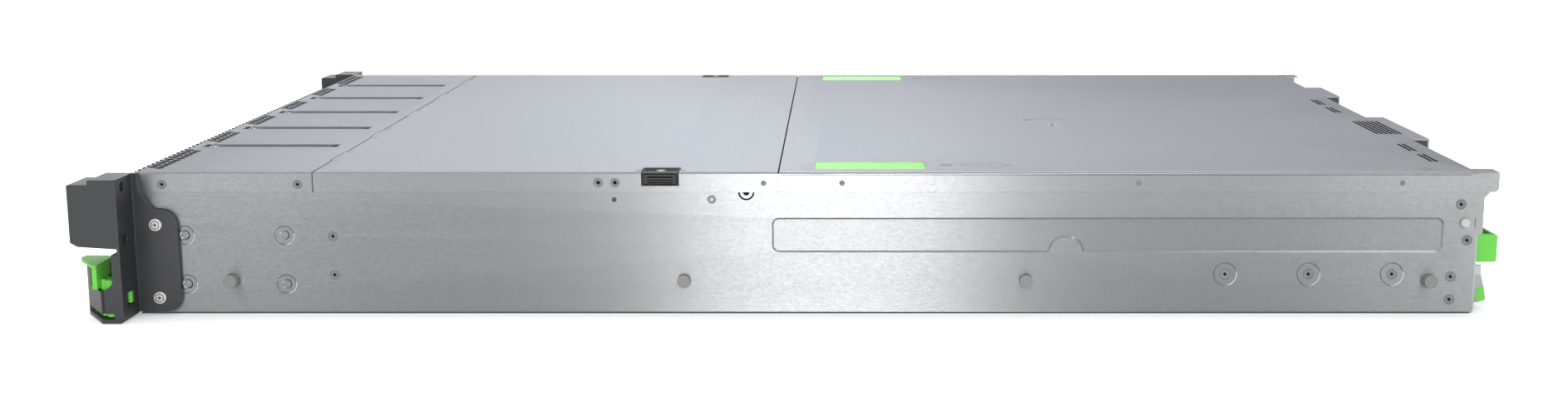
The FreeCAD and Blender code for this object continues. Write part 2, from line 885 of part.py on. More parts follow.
def push_pads():
    pads = []
    for side in SIDES:
        low, high = pad_span(side)
        pads.append(slab("push_pad", (f"{low} + lock_play", f"{high} - lock_play"),
                         ("pad_start + lock_play", "pad_start + pad_length - lock_play"),
                         ("body_height - pad_depth", "body_height - pad_depth / 2")))
    return node(group("push_pads", pads), "push_pads")


def cover_lock():
    at = ("lock_offset", "lock_middle", f"{COVER_UNDER} - 3 * cover_sheet")
    barrel = rod("lock_barrel", "z", at, "lock_radius", "4 * cover_sheet")
    slot = slab("lock_slot", ("lock_offset - lock_radius", "lock_offset + lock_radius"),
                ("lock_middle - lock_slot / 2", "lock_middle + lock_slot / 2"),
                (COVER_UNDER, "body_height + cover_sheet"))
    foot = slab("lock_foot", ("lock_offset - 2 * lock_radius", "lock_offset + lock_radius / 2"),
                ("lock_middle - lock_radius / 2", "lock_middle + lock_radius / 2"),
                (f"{COVER_UNDER} - 3 * cover_sheet", f"{COVER_UNDER} - 2 * cover_sheet"))
    return node(cut("cover_lock", fuse("lock_turned", [barrel, foot]), [slot]), "cover_lock")


# Rack ears: built on the right-hand side and mirrored
def ear_bracket():
    body = solid("ear_bracket")
    plate = [
        ("-flange_front", "bracket_low"),
        ("bracket_length", "bracket_low", "bracket_foot"),
        ("bracket_length", "bracket_shoulder", "bracket_brow"),
        ("bracket_neck + bracket_run", "bracket_shoulder", "bracket_fillet"),
        ("bracket_neck", "bracket_shoulder + bracket_rise", "bracket_edge"),
        ("bracket_neck", "body_height"),
        ("-flange_front", "body_height"),
    ]
    pad(body, "x", HALF, f"{HALF} + bracket_plate", plate)
    flange = [
        (HALF, "bracket_low"),
        (EAR_OUT, "bracket_low", "bend_radius"),
        (EAR_OUT, "body_height", "bend_radius"),
        (HALF, "body_height"),
    ]
    pad(body, "u", "-flange_front", "bracket_flange - flange_front", flange)
    through = ("-flange_front - wall", "bracket_flange")
    pocket(body, "u", *through, circles=rack_holes())
    pocket(body, "u", *through, hook_window())
    return node(body, "ear_bracket_right")


def rack_holes():
    heights = ("rack_hole_high", "rack_hole_high - rack_hole_step")
    return [("rack_pitch / 2", height, "rack_hole_radius") for height in heights]


def hook_window():
    return rectangle(f"{HALF} + window_inner", f"{HALF} + window_inner + window_width",
                     "window_low", "window_low + window_tall")


def ear_block():
    body = solid("ear_block")
    side_view = [
        ("-block_reach", "block_low + chin_rise", "block_edge"),
        ("-block_reach + chin_back", "block_low + chin_step"),
        ("-flange_front", "block_low"),
        ("-flange_front", "body_height"),
        ("-block_step", "body_height", "block_edge"),
        ("-block_step", "body_height - block_step_drop"),
        ("-block_reach", "body_height - block_step_drop", "block_edge"),
    ]
    pad(body, "x", EAR_IN, EAR_OUT, side_view)
    pocket(body, "u", "-flange_front - screw_hole_depth", "wall", circles=rack_holes())
    return body


def button_middle():
    return f"({EAR_IN} + {EAR_OUT}) / 2"


def power_block():
    body = ear_block()
    bores = [(button_middle(), "power_height", "power_radius + pin_play"),
             (button_middle(), "ident_height", "ident_radius + pin_play")]
    pocket(body, "u", "-block_reach - wall", "-block_reach + button_depth + button_proud", circles=bores)
    node(body, "ear_block_right")
    for name, height, radius in (("power_button", "power_height", "power_radius"),
                                 ("ident_button", "ident_height", "ident_radius")):
        at = (button_middle(), "-block_reach - button_proud", height)
        node(rod(name, "u", at, radius, "button_depth + button_proud"), name)


def socket_block():
    base = mirror("ear_block_mirrored", ear_block())
    middle = f"(-{button_middle()})"
    sockets = []
    holes = []
    for height in ("power_height", "ident_height"):
        x = (f"{middle} - socket_width / 2", f"{middle} + socket_width / 2")
        z = (f"{height} - socket_tall / 2", f"{height} + socket_tall / 2")
        holes.append(slab("socket_hole", x, ("-block_reach - wall", "-block_reach + socket_depth"), z))
        rim = slab("socket_shell", x, ("-block_reach", "-block_reach + socket_depth"), z)
        hollow = slab("socket_hollow", (f"{x[0]} + socket_rim", f"{x[1]} - socket_rim"),
                      ("-block_reach - wall", "-block_reach + socket_depth - wall"),
                      (f"{z[0]} + socket_rim", f"{z[1]} - socket_rim"))
        sockets.append(cut("front_socket", rim, [hollow]))
    node(cut("ear_block_left", base, holes), "ear_block_left")
    node(group("front_sockets", sockets), "front_sockets")


def ear_screws():
    screws = []
    for side in SIDES:
        for z in ("ear_screw_low", "ear_screw_low + ear_screw_rise"):
            start = f"{HALF} + bracket_plate" if side > 0 else f"-({HALF} + bracket_plate + ear_screw_head)"
            at = (start, "ear_screw_back", z)
            screws.append(rod("ear_screw", "x", at, "ear_screw_radius", "ear_screw_head"))
    return node(group("ear_screws", screws), "ear_screws")


POST = f"({EAR_IN} + housing_post)"
LEAN = f"((housing_reach - housing_corner) / ({EAR_OUT} - {POST}))"
PIN_TOP = "(lever_ledge - housing_wall)"


def slant(x, offset):
    """Corner on the ear's slanted front, at an x, moved inward by an offset."""
    return x, f"-housing_reach + {LEAN} * ({x} - {POST}) + ({offset}) * sqrt(1 + {LEAN} * {LEAN})"


def ear_housing():
    body = solid("ear_housing")
    front, outer = slant(POST, "0"), slant(EAR_OUT, "0")
    floor = [(EAR_IN, "-flange_front"), (EAR_IN, "-housing_reach"), front, outer, (EAR_OUT, "-flange_front")]
    floor_top = "housing_low + housing_floor"
    pad(body, "z", "housing_low", floor_top, floor)
    back = rectangle(EAR_IN, EAR_OUT, "-housing_back", "-flange_front")
    pad(body, "z", floor_top, "housing_top", back)
    front_in, outer_in = slant(POST, "housing_wall"), slant(f"({EAR_OUT} - housing_wall)", "housing_wall")
    lip = [(EAR_OUT, "-housing_back"), outer, front, front_in, outer_in, (outer_in[0], "-housing_back")]
    pad(body, "z", "housing_lip_low", "housing_lip_top", lip)
    post = rectangle(EAR_IN, POST, "-housing_reach", front_in[1])
    pad(body, "z", floor_top, "housing_lip_top", post)
    run = f"({POST} + housing_post_run)"
    brow = [(EAR_IN, "-housing_reach"), front, slant(run, "0"), slant(run, "housing_wall"), front_in,
            (EAR_IN, front_in[1])]
    pad(body, "z", "housing_lip_top", "housing_post_top", brow)
    cheek = [("-housing_back - housing_side_run", "housing_lip_top"), ("-housing_back", "housing_lip_top"),
             ("-housing_back", "housing_lip_top + housing_side_rise")]
    pad(body, "x", f"{EAR_OUT} - housing_wall", EAR_OUT, cheek)
    inner = rectangle("-lever_back - lever_wall", "-housing_back", floor_top,
                      "lever_top - lever_tab - lever_gap")
    pad(body, "x", EAR_IN, f"{EAR_IN} + wall", inner)
    groove_start = "-housing_corner + housing_wall / 2"
    groove = rectangle(groove_start, f"{groove_start} + housing_groove",
                       "housing_lip_low - wall", "housing_lip_top + wall")
    pocket(body, "x", f"{EAR_OUT} - housing_wall / 2", f"{EAR_OUT} + wall", groove)
    pocket(body, "u", "-housing_back - wall", "wall", hook_window())
    pad(body, "z", floor_top, PIN_TOP, circles=[(*lever_axis(), "lever_pin_radius")])
    return node(body, "ear_housing_right")


def lever_axis():
    """Where the release lever turns, seen from above."""
    return f"({EAR_OUT} - lever_axis_inset)", "-lever_axis_front"


def ear_lever():
    """Release lever: a thumb tab on a wall, a slanted block behind the housing's lip, a hub and a hook."""
    body = solid("ear_lever")
    wall_low = "housing_low + housing_floor + lever_gap"
    tab_low = "lever_top - lever_tab"
    axis_x, axis_u = lever_axis()
    tab = [
        (f"{EAR_IN} - lever_overhang", "-lever_reach", "wall"),
        (f"{EAR_IN} + housing_wall", "-lever_reach", "wall"),
        (EAR_OUT, "-lever_back", "wall"),
        (EAR_IN, "-lever_back"),
        (f"{EAR_IN} - lever_overhang", "-lever_back - lever_overhang", "wall"),
    ]
    start = f"({POST} + lever_gap)"
    blade = [
        slant(start, "housing_wall + lever_gap"),
        slant(axis_x, "housing_wall + lever_gap"),
        (axis_x, axis_u),
        (f"{axis_x} - lever_hub", axis_u),
        slant(start, "housing_wall + lever_gap + lever_thick"),
    ]
    pad(body, "z", wall_low, "lever_ledge", blade)
    pad(body, "z", wall_low, "lever_ledge", circles=[(axis_x, axis_u, "lever_hub")])
    wall = rectangle(start, f"{EAR_OUT} - lever_end", "-lever_back - lever_wall", "-lever_back")
    pad(body, "z", "housing_lip_top + lever_gap", tab_low, wall)
    pad(body, "z", tab_low, "lever_top", tab)
    hook_low, hook_high = "window_low + lever_gap", "window_low + window_tall - lever_gap"
    nose = f"{HALF} + window_inner + lever_gap"
    hook = [
        (axis_x, f"{axis_u} - lever_hub / 2"),
        (nose, f"{axis_u} - lever_hub / 2"),
        (nose, "lever_hook_end", "lever_gap"),
        (f"{nose} + lever_hook", "lever_hook_end", "lever_gap"),
        (f"{nose} + lever_hook", f"{axis_u} + lever_hub / 2"),
        (axis_x, f"{axis_u} + lever_hub / 2"),
    ]
    pad(body, "z", hook_low, hook_high, hook)
    bore = (axis_x, axis_u, "lever_pin_radius + pin_play")
    pocket(body, "z", "housing_low", f"{PIN_TOP} + lever_gap", circles=[bore])
    return node(body, "ear_lever_right")


def both_ears():
    bracket = ear_bracket()
    housing = ear_housing()
    node(mirror("ear_bracket_mirrored", bracket), "ear_bracket_left")
    lever = ear_lever()
    node(mirror("ear_housing_mirrored", housing), "ear_housing_left")
    node(mirror("ear_lever_mirrored", lever), "ear_lever_left")
    power_block()
    socket_block()
    ear_screws()


# Drive bays: a cage of thin dividers, carriers with a folding grip, and blanks in the empty bays
BAY_COUNT = 24
DRIVE_BAYS = (20, 21, 22, 23)
BAY_LOW = "(wall + cage_sheet)"
BAY_TOP = "(wall + cage_sheet + bay_tall)"
BEZEL_BACK = "(cage_front - drive_play)"


def bay_middle(index):
    return f"({index - (BAY_COUNT - 1) / 2}) * bay_pitch"


def drive_cage():
    reach = f"({BAND} - wall)"
    run = ("cage_front", "cage_back")
    sheets = [slab("cage_floor", (f"-{reach}", reach), run, ("wall", BAY_LOW)),
              slab("cage_roof", (f"-{reach}", reach), run, (BAY_TOP, f"{BAY_TOP} + cage_sheet"))]
    for index in range(BAY_COUNT + 1):
        middle = f"({index - BAY_COUNT / 2}) * bay_pitch"
        sheets.append(slab("cage_divider", about(middle, "divider"), run, (BAY_LOW, BAY_TOP)))
    brow_low = f"({BAY_TOP} + cage_sheet)"
    brow = slab("cage_brow", (f"-{reach}", reach), ("cage_front", "cage_front + cage_sheet"),
                (brow_low, WALL_TOP))
    slots = [slab("brow_slot", about(bay_middle(index), "brow_slot"),
                  ("cage_front - wall", "cage_front + 2 * wall"),
                  about(f"({brow_low} + {WALL_TOP}) / 2", "brow_slot_tall")) for index in range(BAY_COUNT)]
    sheets.append(cut("vented_brow", brow, slots))
    return node(fuse("drive_cage", sheets), "drive_cage")


BEZEL_SLOTS = 2


def bezel_slots(middle):
    """Air slots across the top of a bezel."""
    slots = []
    for index in range(BEZEL_SLOTS):
        level = f"{BAY_TOP} - {index + 1} * bezel_slot_pitch"
        slots.append(slab("bezel_slot", about(middle, "grip_width"),
                          ("-bezel_reach - wall", f"{BEZEL_BACK} - divider"), about(level, "bezel_slot")))
    return slots


def grip_axis():
    """Where a carrier's grip folds, as u and z."""
    return "(grip_recess - bezel_reach - grip_round - grip_play / 2)", "(grip_low + grip_round)"


def drive(index, number):
    middle = bay_middle(index)
    bezel = slab("bezel", about(middle, "bezel_width"), ("-bezel_reach", BEZEL_BACK),
                 (f"{BAY_LOW} + drive_play", f"{BAY_TOP} - drive_play"))
    case = slab("drive_case", about(middle, "drive_width"), (BEZEL_BACK, "drive_back"),
                (f"{BAY_LOW} + drive_play", f"{BAY_TOP} - 2 * cage_sheet"))
    axis_u, axis_z = grip_axis()
    recess = slab("grip_recess", about(middle, "grip_width + 2 * grip_play"),
                  ("-bezel_reach - wall", "-bezel_reach + grip_recess"),
                  ("grip_low - grip_round", "grip_low + grip_tall + grip_play"))
    cheeks = [slab("grip_cheek", cheek, (f"{axis_u} - grip_round", "-bezel_reach + wall"),
                   (f"{axis_z} - grip_round", f"{axis_z} + grip_round"))
              for cheek in ((f"{middle} - bezel_width / 2", f"{middle} - grip_width / 2 - grip_play"),
                            (f"{middle} + grip_width / 2 + grip_play", f"{middle} + bezel_width / 2"))]
    shell = cut("drive_shell", fuse("drive_block", [bezel, case]), [recess] + bezel_slots(middle))
    pin = rod("grip_pin", "x", (f"{middle} - bezel_width / 2", axis_u, axis_z), "grip_pin", "bezel_width")
    node(fuse("drive", [shell, pin] + cheeks), f"drive_{number}")
    grip = solid("drive_grip")
    back = "(-bezel_reach + grip_recess - grip_play / 2)"
    side_view = [
        (f"{back} - grip_depth", "grip_low", "wall"),
        (back, "grip_low", "grip_round"),
        (back, "grip_low + grip_tall"),
        (f"{back} - grip_depth", "grip_low + grip_tall", "wall"),
    ]
    pad(grip, "x", *about(middle, "grip_width"), side_view)
    pocket(grip, "x", *about(middle, "grip_width + wall"), circles=[(axis_u, axis_z, "grip_pin + pin_play")])
    node(grip, f"drive_grip_{number}")


def bay_blanks():
    blanks = []
    for index in range(BAY_COUNT):
        if index in DRIVE_BAYS:
            continue
        middle = bay_middle(index)
        face = slab("blank_face", about(middle, "bezel_width"), ("-bezel_reach", BEZEL_BACK),
                    (f"{BAY_LOW} + drive_play", f"{BAY_TOP} - drive_play"))
        tail = slab("blank_tail", about(middle, "drive_width"), (BEZEL_BACK, "blank_tail"),
                    (f"{BAY_LOW} + drive_play", f"{BAY_TOP} - 2 * cage_sheet"))
        recess = slab("blank_recess", about(middle, "grip_width"),
                      ("-bezel_reach - wall", "-bezel_reach + wall"), ("grip_low", "grip_low + grip_tall"))
        block = fuse("blank_block", [face, tail])
        blanks.append(cut("bay_blank", block, [recess] + bezel_slots(middle)))
    return node(group("bay_blanks", blanks), "bay_blanks")


def backplane():
    reach = f"({BAY_COUNT / 2} * bay_pitch - divider)"
    board = slab("backplane_board", (f"-{reach}", reach),
                 ("backplane_start", "backplane_start + board_sheet"), ("wall", "wall + backplane_tall"))
    holes = []
    for index in range(FAN_COUNT):
        holes.append(slab("air_hole", about(fan_middle(index), "fan_size - 2 * fan_margin"),
                          ("backplane_start - wall", "backplane_start + board_sheet + wall"),
                          ("plug_low + plug_tall + fan_margin", "wall + backplane_tall - fan_margin")))
    node(cut("backplane", board, holes), "backplane")
    plugs = [slab("drive_plug", about(bay_middle(index), "plug_width"),
                  ("drive_back + drive_play", "backplane_start"), ("plug_low", "plug_low + plug_tall"))
             for index in range(BAY_COUNT)]
    node(group("drive_plugs", plugs), "drive_plugs")


# Fans: a cage with partitions, square frames with struts, and rotors with leaning blades
FAN_COUNT = 6
FAN_BLADES = 7
FAN_LOW = "(wall + cage_sheet)"
FAN_AXIS = "(wall + cage_sheet + fan_size / 2)"
FAN_END = "(fan_start + fan_depth)"


def fan_middle(index):
    return f"({index - (FAN_COUNT - 1) / 2}) * fan_pitch"


def fan_cage():
    half = f"({FAN_COUNT / 2} * fan_pitch + cage_sheet)"
    run = ("fan_start - fan_margin", f"{FAN_END} + fan_margin")
    sheets = [slab("fan_floor", (f"-{half}", half), run, ("wall", FAN_LOW))]
    for index in range(FAN_COUNT + 1):
        middle = f"({index - FAN_COUNT / 2}) * fan_pitch"
        sheets.append(slab("fan_wall", about(middle, "cage_sheet"), run,
                           (FAN_LOW, f"{FAN_LOW} + fan_wall_tall")))
    return node(fuse("fan_cage", sheets), "fan_cage")


def fan_frames():
    frames = []
    for index in range(FAN_COUNT):
        middle = fan_middle(index)
        body = solid("fan_frame")
        square = (*about(middle, "fan_size"), FAN_LOW, f"{FAN_LOW} + fan_size")
        pad(body, "u", "fan_start", FAN_END, rectangle(*square, "fan_margin / 2"))
        pocket(body, "u", "fan_start - wall", f"{FAN_END} + wall", circles=[(middle, FAN_AXIS, "fan_bore")])
        strut = (f"{FAN_END} - strut_sheet", FAN_END)
        pad(body, "u", *strut, rectangle(*about(middle, "fan_size - wall"), *about(FAN_AXIS, "strut_width")))
        pad(body, "u", *strut, rectangle(*about(middle, "strut_width"), *about(FAN_AXIS, "fan_size - wall")))
        pad(body, "u", *strut, circles=[(middle, FAN_AXIS, "fan_hub")])
        frames.append(body)
    return node(group("fan_frames", frames), "fan_frames")


def fan_rotor(index):
    """Hub and blades, drawn about the rotor's own axis and then put in its frame."""
    body = solid("fan_rotor")
    length = "(fan_depth - strut_sheet - hub_gap - fan_margin / 2)"
    place(body, fan_middle(index), "fan_start + fan_margin / 2", FAN_AXIS)
    pad(body, "u", "0", length, circles=[("0", "0", "fan_hub")])
    start = f"({length} - blade_chord) / 2"
    blade = [
        ("-blade_lean - blade_sheet / 2", start),
        ("-blade_lean + blade_sheet / 2", start),
        ("blade_lean + blade_sheet / 2", f"{start} + blade_chord"),
        ("blade_lean - blade_sheet / 2", f"{start} + blade_chord"),
    ]
    first = pad(body, "z", "fan_hub - 3 * blade_sheet", "fan_tip", blade)
    ring = body.newObject("PartDesign::PolarPattern", "blades")
    ring.Originals = [first]
    ring.Axis = (origin_item(body, "Y_Axis"), [""])
    ring.Angle = 360
    ring.Occurrences = FAN_BLADES
    body.Tip = ring
    return node(body, f"fan_rotor_{index + 1}")


# Main board with processors, heatsinks, memory and risers
BOARD_TOP = "(board_height + board_sheet)"
FIN_COUNT = 20
MODULES_A_SIDE = 6
RISER_STACKS = (1, 0, -1)


def main_board():
    edge = f"({HALF} - wall - board_inset)"
    plan = [
        (f"-{edge}", "board_start"),
        (edge, "board_start"),
        (edge, "board_step"),
        ("board_near", "board_step"),
        ("board_near", "board_end"),
        (f"-{edge}", "board_end"),
    ]
    body = solid("main_board")
    pad(body, "z", "board_height", BOARD_TOP, plan)
    node(body, "main_board")
    posts = []
    for x in (f"-{edge} + 2 * board_inset", "board_near - 2 * board_inset"):
        for u in ("board_start + 2 * board_inset", "board_step", "board_end - 2 * board_inset"):
            posts.append(rod("standoff", "z", (x, u, "wall"), "standoff_radius", "board_height - wall"))
    node(group("board_standoffs", posts), "board_standoffs")


def processors():
    sockets, sinks, modules = [], [], []
    middle_u = "(sink_start + sink_length / 2)"
    for side in SIDES:
        x = f"({side} * processor_offset)"
        sockets.append(slab("processor", about(x, "processor_width"), about(middle_u, "processor_length"),
                            (BOARD_TOP, f"{BOARD_TOP} + processor_tall")))
        base_low = f"({BOARD_TOP} + processor_tall)"
        run = ("sink_start", "sink_start + sink_length")
        fins = [slab("sink_base", about(x, "sink_width"), run, (base_low, f"{base_low} + sink_base"))]
        for index in range(FIN_COUNT):
            middle = f"({x} + ({index - (FIN_COUNT - 1) / 2}) * fin_pitch)"
            fins.append(slab("sink_fin", about(middle, "fin_sheet"), run,
                             (f"{base_low} + sink_base", "sink_top")))
        sinks.append(fuse("heatsink", fins))
        for away in (-1, 1):
            for index in range(MODULES_A_SIDE):
                middle = f"({x} + {away} * (module_first + {index} * module_pitch))"
                modules.append(slab("module", about(middle, "module_width"), about(middle_u, "module_length"),
                                    (BOARD_TOP, f"{BOARD_TOP} + module_tall")))
    node(group("processors", sockets), "processors")
    node(group("heatsinks", sinks), "heatsinks")
    node(group("memory_modules", modules), "memory_modules")


def riser_cards():
    cards = []
    end = "(board_end - jack_depth)"
    for stack in RISER_STACKS:
        inner = f"({stack} * card_spacing - card_width / 2 - 2 * card_lip)"
        foot = f"min({inner}; board_near - 2 * board_sheet)"
        cards.append(slab("riser", (foot, f"{foot} + board_sheet"), (f"{end} - riser_length", end),
                          (BOARD_TOP, f"{BOARD_TOP} + riser_tall")))
    return node(group("riser_cards", cards), "riser_cards")


# Rear panel with its sockets and blanked card slots
CARDS_A_STACK = 2
CARD_SLOTS = 7
JACKS = ("jack_first", "jack_first + jack_pitch",
         "jack_first + jack_pair", "jack_first + jack_pair + jack_pitch")
PORTS = ("port_first", "port_first + port_pitch")
SUPPLY_COUNT = 2


def card_windows(lip):
    """Low and high values, on x and z, of every card window grown by a lip."""
    windows = []
    for stack in RISER_STACKS:
        for level in range(CARDS_A_STACK):
            low = f"card_low + {level} * card_pitch"
            windows.append((about(f"{stack} * card_spacing", f"card_width + 2 * {lip}"),
                            (f"{low} - {lip}", f"{low} + card_tall + {lip}")))
    return windows


def socket_outlines(gap):
    """Low and high values, on x and z, of every rear socket's shell grown by a gap."""
    shells = [(middle, "jack_width", "jack_tall") for middle in JACKS]
    shells += [(middle, "port_width", "port_tall") for middle in PORTS]
    shells.append(("screen_middle", "screen_width", "jack_tall"))
    return [(about(middle, f"{width} + 2 * {gap}"), (f"{BOARD_TOP} - {gap}", f"{BOARD_TOP} + {tall} + {gap}"))
            for middle, width, tall in shells]


def rear_panel():
    plate = slab("rear_plate", (f"-({HALF} - wall)", f"{HALF} - wall"), ("body_depth", REAR_FACE),
                 ("wall", WALL_TOP))
    through = ("body_depth - wall", f"{REAR_FACE} + wall")
    tools = [slab("card_window", x, through, z) for x, z in card_windows("0")]
    tools += [slab("socket_window", x, through, z) for x, z in socket_outlines("jack_gap")]
    first, last = supply_span(0), supply_span(SUPPLY_COUNT - 1)
    tools.append(slab("supply_window", (f"{last[0]} - supply_gap", f"{first[1]} + supply_gap"), through,
                      ("supply_low - supply_gap", "supply_low + supply_tall + supply_gap")))
    node(cut("rear_panel", plate, tools), "rear_panel")
    blanks = []
    for x, z in card_windows("card_lip"):
        blank = slab("card_blank", x, ("body_depth - cage_sheet", "body_depth"), z)
        slots = []
        for index in range(CARD_SLOTS):
            middle = f"({x[0]} + {x[1]}) / 2 + ({index - (CARD_SLOTS - 1) / 2}) * card_slot_pitch"
            slots.append(slab("card_slot", about(middle, "card_slot"), ("body_depth - wall", REAR_FACE),
                              about(f"({z[0]} + {z[1]}) / 2", "card_tall / 2")))
        blanks.append(cut("card_cover", blank, slots))
    node(group("card_blanks", blanks), "card_blanks")


def rear_sockets():
    end = f"{REAR_FACE} + jack_proud"
    run = (f"{end} - jack_depth", end)
    hollow_run = (f"{end} - jack_depth + 2 * wall", f"{end} + wall")
    shells = [slab("socket", x, run, z) for x, z in socket_outlines("0")]
    hollows = [[slab("jack_hollow", about(middle, "jack_hollow"), hollow_run,
                     about(f"{BOARD_TOP} + jack_tall / 2", "jack_hollow_tall"))] for middle in JACKS]
    for middle in PORTS:
        levels = about(f"{BOARD_TOP} + port_tall / 2", "port_step")
        hollows.append([slab("port_hollow", about(middle, "port_hollow"), hollow_run,
                             about(level, "port_hollow_tall")) for level in levels])
    screen = f"{BOARD_TOP} + jack_tall / 2"
    hollows.append([slab("screen_hollow", about("screen_middle", "screen_hollow"),
                         (f"{end} - screen_depth", f"{end} + wall"), about(screen, "jack_hollow_tall"))])
    pieces = [cut("rear_socket", shell, hollow) for shell, hollow in zip(shells, hollows)]
    return node(group("rear_sockets", pieces), "rear_sockets")


# Power supplies, side by side: a case with an inlet, a pull handle and a cam lever
def supply_span(index):
    """Low and high values of a power supply across the body."""
    high = f"({HALF} - supply_inset - {index} * supply_spacing)"
    return f"({high} - supply_width)", high


def supply_cage():
    first, last = supply_span(0), supply_span(SUPPLY_COUNT - 1)
    x = (f"{last[0]} - supply_gap", f"{first[1]} + supply_gap")
    run = (f"{REAR_FACE} - supply_length", "body_depth - cage_sheet")
    low = "(supply_low - supply_gap - cage_sheet)"
    high = "(supply_low + supply_tall + supply_gap)"
    middle = f"({first[0]} + {last[1]}) / 2"
    sheets = [slab("supply_floor", x, run, (low, f"{low} + cage_sheet")),
              slab("supply_roof", x, run, (high, f"{high} + cage_sheet")),
              slab("supply_divider", about(middle, "divider"), run, (f"{low} + cage_sheet", high)),
              slab("supply_foot", (x[0], f"{x[0]} + cage_sheet"), run, ("wall", low)),
              slab("supply_foot", (f"{x[1]} - cage_sheet", x[1]), run, ("wall", low))]
    return node(group("supply_cage", sheets), "supply_cage")


GRILLE_SLOTS = 4
PRONGS = (-1, 0, 1)


def supply_case(index):
    """A block with an inlet frame, a grille, contacts and the lever's ears standing on it."""
    low, high = supply_span(index)
    face = f"({REAR_FACE} - inlet_depth)"
    case_z = ("supply_low", "supply_low + supply_tall")
    inlet_x = (f"({low} + inlet_inset)", f"({low} + inlet_inset + inlet_width)")
    split = f"({inlet_x[1]} + inlet_rim)"
    block = slab("supply_block", (low, high), (f"{REAR_FACE} - supply_length", face), case_z)
    mouth = slab("inlet", inlet_x, (f"{face} - wall", f"{REAR_FACE} + wall"),
                 ("inlet_low", "inlet_low + inlet_tall"))
    inlet = cut("inlet_frame", slab("inlet_block", (low, split), (face, REAR_FACE), case_z), [mouth])
    slots = []
    for slot in range(GRILLE_SLOTS):
        start = f"inlet_low + grille_slot / 2 + {slot} * grille_pitch"
        slots.append(slab("grille_slot", (f"{split} + grille_edge", f"{split} + grille_edge + grille_width"),
                          (f"{REAR_FACE} - grille_depth", f"{REAR_FACE} + wall"),
                          (start, f"{start} + grille_slot")))
    grille = cut("grille", slab("grille_block", (split, high), (face, REAR_FACE), case_z), slots)
    pieces = [block, inlet, grille]
    middle = f"({inlet_x[0]} + {inlet_x[1]}) / 2"
    for prong in PRONGS:
        level = f"inlet_low + inlet_tall / 2 + {1 - 2 * abs(prong)} * prong_tall / 2"
        pieces.append(slab("prong", about(f"{middle} + {prong} * inlet_width / 4", "prong_width"),
                           (face, f"{REAR_FACE} - inlet_depth / 2"), about(level, "prong_tall")))
    cam_x, axis_u = cam_span(index), cam_axis()
    ears = ((f"{cam_x[0]} - cam_gap - cam_ear", f"{cam_x[0]} - cam_gap"),
            (f"{cam_x[1]} + cam_gap", f"{cam_x[1]} + cam_gap + cam_ear"))
    tall = about("cam_height", "2 * cam_round")
    bracket = [slab("cam_ear", ear, (REAR_FACE, f"{axis_u} + cam_round"), tall) for ear in ears]
    pin_length = f"{ears[1][1]} - ({ears[0][0]})"
    bracket.append(rod("cam_pin", "x", (ears[0][0], axis_u, "cam_height"), "cam_pin", pin_length))
    pieces.append(fuse("cam_bracket", bracket))
    return node(group("supply_case", pieces), f"supply_case_{index + 1}")


def supply_handle(index):
    """A strap bent into a loop, standing on the supply's rear face."""
    low, high = supply_span(index)
    outer = (f"{high} - handle_inset - handle_width", f"{high} - handle_inset")
    top = "(supply_low + supply_tall)"
    body = solid("supply_handle")
    side_view = [
        (REAR_FACE, f"{top} - handle_tall"),
        (f"{REAR_FACE} + handle_reach", f"{top} - handle_tall", "handle_corner"),
        (f"{REAR_FACE} + handle_reach", top, "handle_corner"),
        (REAR_FACE, top),
    ]
    pad(body, "x", *outer, side_view)
    loop = rectangle(f"{outer[0]} + handle_sheet", f"{outer[1]} - handle_sheet",
                     f"{REAR_FACE} - wall", f"{REAR_FACE} + handle_reach - handle_sheet")
    pocket(body, "z", f"{top} - handle_tall - wall", f"{top} + wall", loop)
    return node(body, f"supply_handle_{index + 1}")


def cam_span(index):
    high = supply_span(index)[1]
    return f"({high} - cam_inset - cam_width)", f"({high} - cam_inset)"


def cam_axis():
    return f"({REAR_FACE} + cam_round + cam_gap)"


def supply_cam(index):
    """Cam lever: hangs from its pin, leans out towards its tip and swings up to draw the supply out."""
    axis_u = cam_axis()
    low, high = cam_span(index)
    body = solid("supply_cam")
    side_view = [
        (f"{axis_u} - cam_round", "cam_height"),
        (f"{axis_u} - cam_round", "cam_foot"),
        (f"{REAR_FACE} + cam_round", "cam_tip", "wall"),
        (f"{REAR_FACE} + cam_lean", "cam_tip + cam_round", "wall"),
        (f"{axis_u} + 2 * cam_round", "cam_foot"),
        (f"{axis_u} + cam_round", "cam_height"),
    ]
    pad(body, "x", low, high, side_view)
    pad(body, "x", low, high, circles=[(axis_u, "cam_height", "cam_round")])
    bore = (axis_u, "cam_height", "cam_pin + pin_play")
    pocket(body, "x", f"{low} - wall", f"{high} + wall", circles=[bore])
    return node(body, f"supply_cam_{index + 1}")


chassis_tray()
rail_studs()
front_top_panel()
middle_cover()
for side_sign, side_word in zip(SIDES, ("right", "left")):
    cover_latch(side_sign, side_word)
rear_cover()
push_pads()
cover_lock()
both_ears()
drive_cage()
for drive_number, bay in enumerate(DRIVE_BAYS, start=1):
    drive(bay, drive_number)
bay_blanks()
backplane()
fan_cage()
fan_frames()
for fan_index in range(FAN_COUNT):
    fan_rotor(fan_index)
main_board()
processors()
riser_cards()
rear_panel()
rear_sockets()
supply_cage()
for supply_index in range(SUPPLY_COUNT):
    supply_case(supply_index)
    supply_handle(supply_index)
    supply_cam(supply_index)

doc.recompute()

# Every object has to be sound before anything is written
faults = [item.Name for item in doc.Objects if {"Invalid", "Error"} & set(item.State)]
faults += [item.Label for item in nodes if item.Shape.isNull() or not item.Shape.isValid()]
if faults:
    raise RuntimeError("faulty objects: " + ", ".join(faults))
os.makedirs("parts", exist_ok=True)
for item in nodes:
    item.Shape.exportStep(os.path.join("parts", item.Label + ".step"))
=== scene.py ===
from math import cos, hypot, pi, radians, sin, sqrt, tau

import bmesh
import bpy
from mathutils import Matrix, Vector

